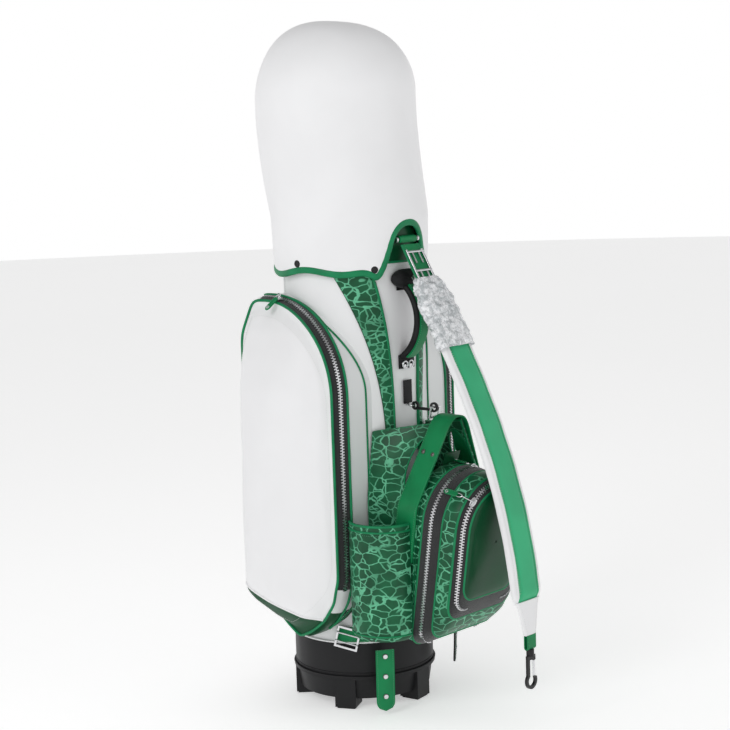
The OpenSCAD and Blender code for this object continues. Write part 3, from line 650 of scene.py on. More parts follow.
    def done(self, name, body, slot, replaces=(), sharp=38):
        """Makes the object, gives it to its body, and hides the CAD nodes that it stands for."""
        mesh = bpy.data.meshes.new(name)
        mesh.from_pydata((np.array(self.points) * 0.001).tolist(), [], self.faces)
        for wanted in self.finishes:
            mesh.materials.append(finish(wanted))
        mesh.polygons.foreach_set("material_index", self.marks)
        work = bmesh.new()
        work.from_mesh(mesh)
        bmesh.ops.remove_doubles(work, verts=work.verts, dist=2e-6)
        bmesh.ops.dissolve_degenerate(work, edges=work.edges, dist=1e-6)
        bmesh.ops.recalc_face_normals(work, faces=work.faces)
        for face in work.faces:
            face.smooth = True
        limit = math.radians(sharp)
        for edge in work.edges:
            edge.smooth = len(edge.link_faces) == 2 and edge.calc_face_angle(0.0) < limit
        work.to_mesh(mesh)
        work.free()
        made = bpy.data.objects.new(name, mesh)
        bpy.context.scene.collection.objects.link(made)
        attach(made, body)
        if replaces:
            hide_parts(*([replaces] if isinstance(replaces, str) else replaces))
        return made


def crumple(points, size, depth, seed=0.0):
    """Soft uneven pushes from 0 to 1 times the depth, for hand-made surfaces."""
    shape = np.shape(points)[:-1]
    flat = np.asarray(points, float).reshape(-1, 3) / size + seed
    return np.array([noise.noise(Vector(p)) for p in flat]).reshape(shape) * depth


def side_name(side):
    """The word that ends the names of one side's pieces."""
    return "left" if side < 0 else "right"


def for_side(shape, side):
    """The shape, drawn for the left, moved to its side."""
    return shape.mirrored() if side > 0 else shape


# ---------- body ----------
def pattern_edges(z):
    """Angles of the crescent panel's left and right edges at a height."""
    t = np.clip((np.asarray(z, float) - CRESCENT_FOOT) / 340, 0, None)
    return 22 + 42 * t**2.2, 15 + 17 * t**3


def body_leather():
    """Finishes of the moulded base, tube, panels, cuff and divider, with seams between the panels."""
    for node in ("base_cup", "base_feet", "base_band"):
        dress(node, "base_plastic")
    for node in ("front_panel", "side_panel_left", "side_panel_right", "spine_panel"):
        dress(node, "white_leather")
    dress("body_tube", "liner_plastic")
    dress("stay_rods", "metal")
    dress("top_cuff", "deep_leather")
    dress("club_divider", "divider_cloth")
    turn = np.arange(0, 360, 3)
    trim = Shape("white_leather", "base_plastic")
    trim.tube(round_body(130.3, turn, BAND_TOP + 1.2), 1.7, 0, True, out=(0, 0, 1))
    trim.tube(round_body(133.6, turn, 62.0), 1.6, 1, True, out=(0, 0, 1))
    trim.tube(round_body(131.2, turn, 68.5), 0.9, 1, True, out=(0, 0, 1))
    trim.done("base_trim", "bag", "white_leather")
    seams = Shape("white_leather", "white_thread", "trim_leather")
    heights = np.linspace(BAND_TOP + 2, PANEL_TOP - 1, 60)
    for angle in (-BACK_SEAM, BACK_SEAM):
        seams.tube(round_body(BODY_R + 0.2, angle, heights), 1.5, 0)
        for shift in (-2.6, 2.6):
            path = round_body(BODY_R + 0.15, angle + shift, heights)
            seams.stitches(path, unit(path * (1, 1, 0)), 1)
    for height in (PANEL_TOP - 3, PANEL_TOP - 8):
        ring = round_body(BODY_R + 0.15, turn, height)
        seams.stitches(ring, ring * (1, 1, 0), 1, True)
    seams.tube(round_body(BODY_R + 2.2, turn, PANEL_TOP), 2.4, 2, True, out=(0, 0, 1))
    seams.done("body_seams", "bag", "white_leather")


def pattern_panel(side):
    """Crescent of printed leather, a little puffed, with thick piping on its front edge."""
    shape = Shape("pattern_leather", "trim_leather", "pale_thread", "deep_leather")
    heights = np.linspace(CRESCENT_FOOT + 1, PANEL_TOP - 2, 60)
    left, right = pattern_edges(heights)
    share = np.linspace(0, 1, 17)
    angle = right[:, None] + (left - right)[:, None] * share
    bulge = np.sin(np.pi * share) ** 0.6
    puff = 1.9 + 2.0 * bulge[None] * np.sin(np.pi * np.linspace(0, 1, 60))[:, None] ** 0.3
    shape.plate(round_body(BODY_R + puff, angle, heights[:, None]), 1.2)
    shape.tube(round_body(BODY_R + 2.0, right, heights), 3.1, 1, count=12)
    shape.tube(round_body(BODY_R + 1.2, left, heights), 1.5, 3)
    edge = round_body(BODY_R + 3.4, right + 2.9, heights)
    shape.stitches(edge, unit(edge * (1, 1, 0)), 2)
    edge = round_body(BODY_R + 3.0, left - 1.8, heights)
    shape.stitches(edge, unit(edge * (1, 1, 0)), 2)
    node = "pattern_panel_" + side_name(side)
    for_side(shape, side).done(node + "_leather", "bag", "pattern_leather", node)


# ---------- garment pockets ----------
def garment_ring(inset, count=260):
    """The pocket's outline in Y and Z, from the lowest point up the front, over the top and down the back."""
    a = np.radians(np.linspace(180, 90, 40))
    b = np.radians(np.linspace(90, 0, 8))
    path = np.vstack([
        [[0, 134 + inset], [-30, 148 + inset], [-62, 172 + inset], [-88, 208 + inset], [-105 + inset, 258]],
        np.column_stack([
            GARMENT_Y + (GARMENT_R - inset) * np.cos(a),
            GARMENT_Z + (GARMENT_R - inset) * np.sin(a),
        ]),
        np.column_stack([89 + (18 - inset) * np.cos(b), 747 + (18 - inset) * np.sin(b)]),
        [[107 - inset, 232 + inset], [90, 204 + inset], [60, 180 + inset], [28, 152 + inset]],
    ])
    return rounded(path, 16, count)


def garment_reach(y, z):
    """How far the pocket's face stands from the bag's axis."""
    y, z = np.broadcast_arrays(np.asarray(y, float), np.asarray(z, float))
    s = np.clip(np.abs(y) / 108, 0, 1) ** 1.25
    plan = 148 + 98 * np.clip(1 - s * s, 0, 1) ** 0.375
    heights = (100, 150, 186, 214, 255, 320, 400, 500, 600, 660, 705, 738, 762, 800)
    reaches = (148, 168, 202, 224, 240, 246, 242, 232, 218, 202, 184, 166, 153, 148)
    profile = np.interp(z, heights, reaches)
    far = np.where(z > GARMENT_Z, np.hypot(y - GARMENT_Y, z - GARMENT_Z), GARMENT_Y - y)
    roll = np.interp(far, (0, 50, 90, 122, 150, 168, 175), (260, 236, 214, 196, 176, 160, 150))
    roll = np.where(y > GARMENT_Y, 400.0, roll)
    soft = 7.0
    total = np.exp(-plan / soft) + np.exp(-profile / soft) + np.exp(-roll / soft)
    return np.clip(-soft * np.log(total) + 2.0, 150, 245)


def garment_pocket(side):
    """Side pocket: gusset, zip over the top between two pipings, and a puffed face with a green underside."""
    count = 260
    outer = garment_ring(0.0, count)
    y, z = outer.T
    normal = np.cross(frames(np.column_stack([y * 0, y, z]), True)[0], (-1.0, 0, 0))
    root = -np.sqrt(np.maximum(BODY_R**2 - y**2, 0)) + 1.0
    node = "_" + side_name(side)

    gusset = Shape("white_leather", "trim_leather", "white_thread", "deep_leather")
    share = np.linspace(0, 1, 8)[:, None]
    sag = np.sin(np.pi * share) * -1.6
    rows = np.stack([
        root + (-GUSSET_EDGE - root) * share,
        y + normal[:, 1] * sag,
        z + normal[:, 2] * sag,
    ], -1)
    gusset.plate(rows, 2.0, lambda i, j: 3 if z[j] < GREEN_BELOW else 0, False, True)
    seam = np.column_stack([np.maximum(root - 15, -GUSSET_EDGE + 6), y, z]) + normal * -0.4
    part = slice(8, 150)
    gusset.tube(seam[part], 1.9, 1)
    gusset.stitches(seam[part] + (-4.5, 0, 0), normal[part], 2)
    gusset.stitches(np.column_stack([np.full(count, -GUSSET_EDGE + 6.0), y, z])[part], normal[part], 2)
    name = "garment_gusset" + node
    for_side(gusset, side).done(name + "_leather", "bag", "white_leather", name)

    inner = garment_ring(8.5, count)
    reach = garment_reach(inner[:, 0] * 0.985, inner[:, 1])
    limit = 171 + 22 * smooth((inner[:, 0] - 40) / 50)
    edge_x = -np.clip(reach + 3, 157, limit)
    for _ in range(6):
        edge_x = (np.roll(edge_x, 1) + edge_x * 2 + np.roll(edge_x, -1)) / 4
    lip = np.column_stack([edge_x, inner])
    start = np.column_stack([np.full(count, -GUSSET_EDGE), y, z])
    zipped = ((y < -84) & (z > 236)) | ((z > 600) & (y < 84)) | ((z > 560) & (y < 60))
    zipped &= ~((y > 60) & (z < 700))

    band = Shape("zip_tape", "trim_leather", "metal", "white_leather", "deep_leather")
    share = np.linspace(0, 1, 9)[:, None, None]
    bulge = (np.sin(np.pi * share) * 2.4) * normal[None]
    rows = start[None] * (1 - share) + lip[None] * share + bulge

    def band_finish(i, j):
        if zipped[j]:
            return 0
        return 4 if z[j] < GREEN_BELOW else 3

    band.plate(rows, 2.0, band_finish, False, True)
    first, last = np.flatnonzero(zipped)[[0, -1]]
    middle = rows[4]
    tilt = unit(normal + (-0.25, 0, 0))
    band.teeth((middle + tilt * 0.7)[first : last + 1], tilt[first : last + 1], 2)
    band.tube((start + normal * 1.0)[8 : last + 3], 2.5, 1, count=10)
    band.tube(lip + normal * 0.8, 2.6, 1, True, 10)
    stop = middle[first] + tilt[first] * 1.5
    band.tube(np.array([stop + (4.5, 0, 0), stop - (4.5, 0, 0)]), 1.6, 2)
    for_side(band, side).done("garment_zip" + node + "_tape", "bag", "zip_tape", "garment_zip" + node)

    face = Shape("face_leather", "white_leather", "white_thread")
    centre = np.array([8.0, 470.0])
    steps = np.concatenate([np.linspace(0, 0.2, 12), np.linspace(0.23, 0.985, 22)])
    flat = centre + (inner - centre)[None] * (1 - steps)[:, None, None]
    apart = np.linalg.norm(flat - inner[None], axis=-1)
    rise = smooth(apart / 26) ** 0.8
    x = edge_x[None] * (1 - rise) - garment_reach(flat[..., 0], flat[..., 1]) * rise
    rows = np.concatenate([x[..., None], flat], -1)
    rows[..., 0] -= crumple(rows, 90, 1.8, 3.1 + side) * smooth(apart / 60)
    face.grid(rows, 0, False, True)
    face.add(rows[-1], [list(range(count))], 0)
    trim = []
    for j in range(count):
        column = rows[:, j]
        gap = column[:, 2] - 207 - 0.42 * column[:, 1]
        cross = np.flatnonzero(np.diff(np.sign(gap)))
        if len(cross):
            k = cross[0]
            trim.append(column[k] + (column[k + 1] - column[k]) * gap[k] / (gap[k] - gap[k + 1]))
    trim = sorted(trim, key=lambda p: p[1])
    line = rounded(np.array(trim), 10, 60, False)
    face.tube(line + (-0.6, 0, 0), 1.9, 1)
    ring = rows[5]
    face.stitches(ring + (-0.2, 0, 0), (-1.0, 0, 0), 2, True)
    name = "garment_face" + node
    for_side(face, side).done(name + "_leather", "bag", "white_leather", name)


# ---------- ball pocket ----------
def lean(points):
    """Points of the upright ball pocket leaned out with it."""
    points = np.asarray(points, float)
    y, z = points[..., 1] - LEAN_Y, points[..., 2] - LEAN_Z
    c, s = math.cos(BALL_LEAN), math.sin(BALL_LEAN)
    return np.stack([points[..., 0], LEAN_Y + y * c - z * s, LEAN_Z + y * s + z * c], -1)


def upright_height(y, z):
    """Height that a point of the leaned pocket has on the upright one."""
    return LEAN_Z - (y - LEAN_Y) * math.sin(BALL_LEAN) + (z - LEAN_Z) * math.cos(BALL_LEAN)


# the leaned pocket's underside in Y and Z, from its front lip to the bag
BOTTOM_Y = (-334, -327, -318, -309, -292, -272, -245, -205, -150, 0)
BOTTOM_Z = (415, 370, 310, 260, 212, 182, 158, 140, 131, 130)


def pocket_floor(depth):
    """Height of the leaning pocket's bottom at a depth."""
    heights = np.arange(60.0, BALL_SPRING, 0.5)
    placed = lean(np.column_stack([heights * 0, np.full(len(heights), depth), heights]))
    inside = placed[:, 2] >= np.interp(placed[:, 1], BOTTOM_Y, BOTTOM_Z)
    return heights[np.argmax(inside)] if inside.any() else 300.0


def pocket_ring(depth, inset=0.0, count=200):
    """The leaning pocket's outline at a depth, from the middle of the bottom round by the left."""
    half = BALL_HALF - inset
    low = pocket_floor(max(depth, BALL_FRONT)) + inset * 1.25 + max(0, BALL_FRONT - depth) * 0.9
    corner = min(26.0, half * 0.5)
    a = np.radians(np.linspace(270, 180, 8))
    b = np.radians(np.linspace(180, 90, 26))
    left = np.vstack([
        [[0, low]],
        np.column_stack([-half + corner + corner * np.cos(a), low + corner + corner * np.sin(a)]),
        np.column_stack([half * np.cos(b), BALL_SPRING + half * np.sin(b)]),
    ])
    right = left[1:-1][::-1] * (-1, 1)
    ring = resample(np.vstack([left, right]), count, True)
    return np.column_stack([ring[:, 0], np.full(count, depth), ring[:, 1]])


def pocket_loft(stages, count=200):
    """Leaned rings through (depth, inset) stages."""
    return np.array([lean(pocket_ring(depth, inset, count)) for depth, inset in stages])


def ring_normals(ring):
    """Directions out of a ring of the ball pocket."""
    along = frames(ring, True)[0]
    back = lean(np.array([0.0, 1.0, 0.0])) - lean(np.zeros(3))
    away = np.cross(along, back)
    return away if (away[50] @ (ring[50] - ring.mean(0))) > 0 else -away


def ball_pocket():
    """Front pocket: printed gussets, two zips with piping, and a glossy puffed face."""
    count = 200
    front = pocket_ring(-208.0, 0.0, count)
    placed = lean(front)
    x, y, z = placed.T
    body = -np.maximum(106.8, np.sqrt(np.maximum(BODY_R**2 - x * x, 0)) + 0.8)
    open_back = np.interp(z, (345, 385, 480), (-60, -201, -233))
    begin = np.minimum(body, np.where(z > 345, open_back, 0))
    start = lean(front)
    slope = math.tan(BALL_LEAN)
    shift = begin - y
    start[:, 1] = begin
    start[:, 2] = z + shift * slope
    rear = Shape("pattern_leather", "deep_leather")
    share = np.linspace(0, 1, 7)[:, None, None]
    rear.plate(start[None] * (1 - share) + placed[None] * share, 1.6, 0, False, True)
    profile = resample([[-127.8, 366], [-200, 387], [-233, 481]], 16)
    drop = np.clip(upright_height(*profile.T) - BALL_SPRING, 0, BALL_HALF - 3)
    half = np.sqrt(BALL_HALF**2 - drop**2) - 1.2
    back = np.array([
        np.column_stack([np.linspace(-h, h, 13), np.full(13, p[0]), np.full(13, p[1])])
        for h, p in zip(half, profile)
    ])
    rear.plate(back, 1.4, 1)
    rear.done("ball_gusset_rear_leather", "bag", "pattern_leather", "ball_gusset_rear")

    def zip_band(node, stages, teeth_at, pipings):
        """Tape through (depth, inset) stages, with teeth on one of them and piping at the pipings."""
        shape = Shape("zip_tape", "trim_leather", "metal")
        rings = pocket_loft(stages)
        shape.plate(rings, 1.8, 0, False, True)
        ring = pocket_loft([teeth_at])[0]
        away = ring_normals(ring)
        if teeth_at[1] > 4:
            ahead = lean(np.array([0.0, -1.0, 0.0])) - lean(np.zeros(3))
            away = unit(away + ahead * 0.9)
        reach = slice(14, count - 13)
        shape.teeth((ring + away * 1.6)[reach], away[reach], 2)
        for depth, inset in pipings:
            ring = pocket_loft([(depth, inset)])[0]
            shape.tube(ring + ring_normals(ring) * 0.9, 2.5, 1, True, 10)
        shape.done(node + "_tape", "bag", "zip_tape", node)

    zip_band(
        "ball_zip_rear",
        [(-208, 0), (-216, -0.8), (-228, -1.4), (-240, -1.2), (-250, 0)],
        (-228, -1.4),
        [(-207.5, 0), (-251.5, 0)],
    )
    middle = Shape("pattern_leather", "pale_thread")
    sheet = pocket_loft([(-250, 0), (-257, -1.5), (-266, -2.0), (-274, -1.6), (BALL_FRONT, 0.6)])
    middle.plate(sheet, 1.6, 0, False, True)
    for depth in (-255, -277):
        ring = pocket_loft([(depth, -1.5)])[0]
        middle.stitches(ring, ring_normals(ring), 1, True)
    middle.done("ball_gusset_middle_leather", "bag", "pattern_leather", "ball_gusset_middle")
    zip_band(
        "ball_zip_front",
        [(-280.5, 0.6), (-285, 2.6), (-289.5, 7), (-293, 12.5), (-296, 19)],
        (-290.5, 8.5),
        [(-281.5, 0.9), (-296.5, 19.5)],
    )
    face = Shape("deep_leather", "pale_thread")
    stages = [(-295.5, 19.0), (-298.0, 21.5), (-299.4, 25.5), (-300.2, 31)]
    rings = list(pocket_loft(stages))
    edge = pocket_ring(-300.2, 31, count)
    centre = np.array([0.0, 0.0, (edge[:, 2].min() + edge[:, 2].max()) / 2])
    for t in np.linspace(0.1, 0.97, 12):
        ring = edge + (centre - edge) * t * (1, 0, 1)
        ring[:, 1] = -300.2 - 2.6 * math.sin(math.pi / 2 * t)
        rings.append(lean(ring))
    rings = np.array(rings)
    rings[4:, :, 1] += crumple(rings[4:], 60, 1.4, 5.0)
    face.plate(rings, 2.0, 0, False, True)
    face.add(rings[-1], [list(range(count))], 0)
    face.stitches(rings[2] + (0, -0.3, 0), (0.0, -1.0, 0.15), 1, True)
    face.done("ball_face_leather", "bag", "deep_leather", "ball_face")


# ---------- harness ----------
def wing_line(z):
    """Half width between the wings at a leaning height."""
    return WING_X - 0.44 * np.clip(z - 391, 0, 40) - 0.54 * np.maximum(0, z - 430)


def wing_at(s, t, d=0.0):
    """Point of the left wing, s from its rear edge to its front edge and t from its foot to its top."""
    s, t = np.broadcast_arrays(np.asarray(s, float), np.asarray(t, float))
    z0, z1 = 156 + 362 * t, 156 + 384 * t
    rear = -WING_X - 0.4 + 17 * np.clip((z0 - 400) / 118, 0, 1)
    y = WING_ROOT_Y + (-204 - 40 * np.maximum(0, z1 - 200) / 340 - WING_ROOT_Y) * s
    z = z0 + (z1 - z0) * s
    front = -wing_line(upright_height(y, z))
    x = rear + (front - rear) * (1 - (1 - s) ** 3) - np.sin(np.pi * s) - d * (0.8 + 0.2 * s)
    return np.stack([x, y - d * 0.6 * (1 - s), z], -1)


def wing(side):
    """Printed leather wing beside the ball pocket, with a bound oval hole and piped edges."""
    count, hole, reach = 120, (0.76, 0.82), (0.2, 0.13)
    a = turns(count)
    c, s = np.cos(a), np.sin(a)
    k = 1 / np.maximum(np.abs(c), np.abs(s))
    edge_s = hole[0] + np.where(c > 0, 1 - hole[0], hole[0]) * c * k
    edge_t = hole[1] + np.where(s > 0, 1 - hole[1], hole[1]) * s * k
    hole_s, hole_t = hole[0] + reach[0] * c, hole[1] + reach[1] * s
    shape = Shape("pattern_leather", "trim_leather", "pale_thread")
    steps = np.linspace(0, 1, 14)[:, None]
    rows = wing_at(hole_s + (edge_s - hole_s) * steps, hole_t + (edge_t - hole_t) * steps, 2.2)
    shape.plate(rows, 1.6, 0, False, True)
    shape.tube(wing_at(hole_s, hole_t, 1.6), 2.1, 1, True)
    rim = wing_at(np.clip(edge_s, 0.02, 0.98), np.clip(edge_t, 0.004, 0.996), 1.6)
    shape.tube(rim, 2.3, 1, True, 10, (-1.0, 0.1, 0.05))
    inside = hole_s + (edge_s - hole_s) * 0.16, hole_t + (edge_t - hole_t) * 0.10
    shape.stitches(wing_at(*inside, 2.3), (-1.0, -0.1, 0), 2, True)
    node = "harness_wing_" + side_name(side)
    for_side(shape, side).done(node + "_leather", "bag", "pattern_leather", node)


def arch():
    """Stitched leather arch over the ball pocket, with its rivets and the ring at its top."""
    corners = np.array([[-95.2, 300], [-95.2, 400], [-26, 539], [-13, 553.6], [0, 554.6]])
    flat = np.vstack([corners, (corners[:-1] * (-1, 1))[::-1]])
    flat = rounded(flat, 14, 150, False)
    c, s, foot_y, foot_z = math.cos(BALL_LEAN), math.sin(BALL_LEAN), -177, 370

    def place(x, y, z):
        """A point of the upright arch, leaned with it."""
        y, z = np.asarray(y, float) - foot_y, np.asarray(z, float) - foot_z
        return np.stack([np.asarray(x, float), foot_y + y * c - z * s, foot_z + y * s + z * c], -1)

    path = place(flat[:, 0], np.full(150, -200.0), flat[:, 1])
    step = np.gradient(flat, axis=0)
    normal = unit(np.column_stack([-step[:, 1], np.zeros(150), step[:, 0]]))
    shape = Shape("belt_leather", "pale_thread", "dark_metal")
    shape.sweep(path, pill(BELT_WIDTH, 3.2, 20, 0.25), 0, False, normal)
    for y in (-180.5, -219.5):
        line = place(flat[:, 0], np.full(150, y), flat[:, 1]) + normal * 1.7
        shape.stitches(line, normal, 1)
    for k in (52, 97):
        for y in (-189.0, -211.0):
            spot = place(flat[k, 0], y, flat[k, 1]) + normal[k] * 1.3
            shape.lathe(spot, normal[k], RIVET, 2, 20)
    shape.done("harness_strap_leather", "bag", "belt_leather", "harness_strap")
    dress("harness_ring", "metal")


def pouch(side):
    """Bottle pouch with a rounded foot, dark inside and double piping round its rim."""
    cx, cy = POUCH
    a = np.radians(np.linspace(269.5, 138.0, 60))
    shape = Shape("pattern_leather", "liner_plastic", "trim_leather", "pale_thread")
    start = POUCH_FOOT + 16
    foot = [(28, POUCH_FOOT), (48, 152.3), (56, 154.5), (60, 159.5), (POUCH_R, start)]
    rise = np.linspace(0.08, 1, 14)
    stages = foot + [(POUCH_R + math.sin(math.pi * t), start + (POUCH_RIM - start) * t) for t in rise]

    def ring(r, z):
        points = np.column_stack([cx + r * np.cos(a), cy + r * np.sin(a), np.full(len(a), z)])
        points[:, 0] = np.minimum(points[:, 0], -98.8)
        points[:, 1] = np.minimum(points[:, 1], -106.4)
        return points

    rows = np.array([ring(r, z) for r, z in stages])
    shape.grid(rows, 0)
    inner = np.array([ring(r - 2.6, max(z, 155)) for r, z in stages])
    shape.grid(inner, 1)
    shape.grid([rows[-1], inner[-1]], 0)
    shape.grid([rows[:, 0], inner[:, 0]], 0)
    shape.grid([rows[:, -1], inner[:, -1]], 0)
    floor = [cx - 0.8, -106.4]
    shape.add(np.vstack([rows[0], [[*floor, POUCH_FOOT]]]), [list(range(len(a) + 1))], 0)
    shape.add(np.vstack([inner[0], [[*floor, 155.0]]]), [list(range(len(a) + 1))], 1)
    shape.tube(ring(60.8, POUCH_RIM + 0.5), 2.5, 2, count=10)
    shape.tube(ring(62.6, 354.0), 1.8, 2)
    shape.stitches(ring(62.9, 348.5), unit(ring(62, 0) - (cx, cy, 0)), 3)
    shape.tube(ring(61.8, 165.0), 1.6, 2)
    node = "bottle_pouch_" + side_name(side)
    for_side(shape, side).done(node + "_leather", "bag", "pattern_leather", node)


# ---------- handle, tether and lower belts ----------
def grab_handle():
    """Padded grab handle: a green face on a black strap, its riveted base and the padded cap above."""
    low, high, bow, thick = 640.0, 796.0, 47.0, 17.0
    half = (high - low) / 2
    radius = (half * half + bow * bow) / (2 * bow)
    centre_y = -BODY_R - 3 - bow + radius
    a = np.linspace(-math.asin(half / radius), math.asin(half / radius), 60)
    mid = radius - thick / 2
    path = np.column_stack([a * 0, centre_y - mid * np.cos(a), (low + high) / 2 + mid * np.sin(a)])
    out = np.column_stack([a * 0, -np.cos(a), np.sin(a)])
    grip = Shape("black_leather", "belt_leather", "pale_thread")
    swell = 1 - 0.22 * np.abs(np.linspace(-1, 1, 60)) ** 2.5
    profile = pill(34, 14.5, 24, 0.62)[None] * np.stack([np.ones(60), swell], -1)[:, None]
    grip.sweep(path, profile, 0, False, out)
    face = path + out * (thick / 2 - 2.0)
    grip.sweep(face[4:-4], pill(24, 4.2, 16, 0.6), 1, False, out[4:-4])
    for x in (-9.4, 9.4):
        grip.stitches((face + out * 1.7 + (x, 0, 0))[5:-5], out[5:-5], 2)
    for_side(grip, -1).done("handle_grip_leather", "bag", "belt_leather", "handle_grip")

    cap = Shape("black_leather", "metal")
    spots = np.linspace(-1, 1, 25)
    girth = 17.5 * (1 - np.abs(spots) ** 3.2 * 0.55)
    row = np.column_stack([spots * 34, np.full(25, -BODY_R - 8.5), np.full(25, high - 5)])
    cap.tube(row, np.clip(girth, 4, 18), 0, False, 24, (0, -1.0, 0))
    cap.tube(row[4:-4] + (0, -17.2, 4), 1.0, 0)
    stud = [(5.4, -1), (5.4, 0.6), (4.0, 2.0), (1.5, 2.6)]
    cap.lathe((0, -BODY_R - 25.5, high - 4), (0, -1, 0.15), stud, 1, 28)
    cap.done("handle_cap_leather", "bag", "black_leather", "handle_cap")

    base = Shape("black_leather", "pale_thread", "metal")
    wide = np.degrees(20.0 / BODY_R)
    angles = np.linspace(-wide, wide, 12)
    for bottom, top in ((low - 13, low + 12), (high - 26, high + 9)):
        heights = np.linspace(bottom, top, 10)
        base.plate(round_body(BODY_R + 2.6, angles[None], heights[:, None]), 2.2)
        for angle in (-wide * 0.88, wide * 0.88):
            line = round_body(BODY_R + 2.7, angle, heights[1:-1])
            base.stitches(line, line * (1, 1, 0), 1)
    for x in (-8, 8):
        a = turns(24)
        ring = np.column_stack([x + 6.2 * np.cos(a), -BODY_R - 6.2 + 0 * a, low - 6 + 6.2 * np.sin(a)])
        base.tube(ring, 1.5, 2, True, 8, (0, 1.0, 0))
    base.done("handle_base_leather", "bag", "black_leather", "handle_base")


def tether():
    """Small tab and ring on the body, and the black snap clip that joins them to the harness."""
    dress("tether_clip", "black_metal")
    tab = Shape("black_leather", "metal", "pale_thread")
    wide = np.degrees(10.5 / BODY_R)
    heights = np.linspace(562, 605, 12)
    tab.plate(round_body(BODY_R + 2.4, np.linspace(-wide, wide, 7)[None], heights[:, None]), 2.0)
    for angle in (-wide * 0.8, wide * 0.8):
        line = round_body(BODY_R + 2.5, angle, heights[1:-1])
        tab.stitches(line, line * (1, 1, 0), 2)
    tab.lathe((0, -BODY_R - 1.5, 592), (0, -1, 0), [(4.4, 0), (4.4, 1.2), (3.0, 2.4), (1.0, 2.8)], 1, 20)
    a = turns(28)
    ring = np.column_stack([6.6 * np.cos(a), -BODY_R - 13 + 6.6 * np.sin(a), np.full(28, 559.0)])
    tab.tube(ring, 1.5, 1, True, 8, (0, 0, 1.0))
    tab.tube(np.array([[0, -BODY_R - 1, 559.5], [0, -BODY_R - 6, 559]]), 2.2, 1)
    tab.done("tether_tab_leather", "bag", "black_leather", "tether_tab")


def lower_belt(side):
    """Short belt round the lower body with its hanging tongue: eyelets on the left, a rivet on the right."""
    node = side_name(side)
    shape = Shape("belt_leather", "black_leather", "pale_thread", "dark_metal", "metal")
    angles = np.linspace(43, 69, 24)
    path = round_body(BODY_R + 3.2, angles, 142.0)
    shape.sweep(path, pill(27.5, 3.4, 16, 0.25), 0, False, path * (1, 1, 0))
    for z in (131.2, 152.8):
        line = round_body(BODY_R + 5.0, angles, z)
        shape.stitches(line, line * (1, 1, 0), 2)
    tip, top, wide = 8.0 if side < 0 else 52.0, 124.0, 17.0
    a = np.radians(np.linspace(180, 360, 24))
    low = np.column_stack([wide * np.cos(a), tip + wide + wide * np.sin(a)])
    outline = resample(np.vstack([[[-wide, top]], low, [[wide, top]]]), 60)
    mark = 0 if side < 0 else 1
    lean_out, turn = math.radians(2.5), math.radians(35)

    def place(x, z, lift):
        """A point of the flat tongue, hung in its place."""
        x, z, lift = np.broadcast_arrays(np.asarray(x, float), np.asarray(z, float), float(lift))
        y = -168 - lift * math.cos(lean_out) - z * math.sin(lean_out)
        up = z * math.cos(lean_out) - lift * math.sin(lean_out)
        c, s = math.cos(turn), math.sin(turn)
        return np.stack([x * c + y * s, -x * s + y * c, up], -1)

    rows = []
    for t in np.linspace(0, 1, 24):
        z = tip + (top - tip) * t
        half = wide if z > tip + wide else math.sqrt(max(wide**2 - (tip + wide - z) ** 2, 0.5))
        rows.append(place(np.linspace(-half, half, 9), np.full(9, z), 3.4 + 0.5 * math.sin(math.pi * t)))
    shape.plate(rows, 3.2, mark)
    lift = place(0, 50, 4)
    away = unit(place(0, 50, 5) - lift)
    heights = outline[:, 1] + 2.6 * (outline[:, 1] < tip + 20)
    shape.stitches(place(outline[:, 0] * 0.84, heights, 3.7), away, 2)
    for k in range(3):
        spot = place(0, (36 + 38 * k) * 0.999 if side < 0 else 80 + 26 * k, 3.4)
        if spot[2] > 122:
            continue
        if side < 0:
            a = turns(20)
            ring = place(4.0 * np.cos(a), 36 + 38 * k + 4.0 * np.sin(a), 4.0)
            shape.tube(ring, 1.1, 3, True, 6, away)
            shape.add(place(3.4 * np.cos(a), 36 + 38 * k + 3.4 * np.sin(a), 4.0), [list(range(20))], 3)
        else:
            shape.lathe(spot, away, RIVET, 4, 20)
    for_side(shape, side).done("lower_belt_" + node + "_leather", "bag", "belt_leather", "lower_belt_" + node)
    dress("belt_buckle_" + node, "metal")


# ---------- zip sliders ----------
def slider_parts(shape, origin, along, out, reach):
    """A zip slider at a place, with its loop standing towards the pull."""
    along, out = unit(np.asarray(along, float)), unit(np.asarray(out, float))
    spots = np.linspace(-7.5, 7.5, 9)
    width = np.interp(spots, (-7.5, 0, 7.5), (7.0, 11.0, 9.0))
    path = origin + along * spots[:, None] + out * 1.8
    profile = pill(1.0, 3.4, 14, 0.5)[None] * np.stack([width, np.ones(9)], -1)[:, None]
    shape.sweep(path, profile, 0, False, out)
    a = np.linspace(0, np.pi, 12)
    bail = origin + out * 3.0 + along * (np.cos(a) * 5.0)[:, None] + out * (np.sin(a) * 3.0)[:, None]
    shape.tube(bail, 1.0, 0)
    shape.tube(np.array([origin + out * 5.2, origin + out * 5.0 + reach]), 0.9, 0)


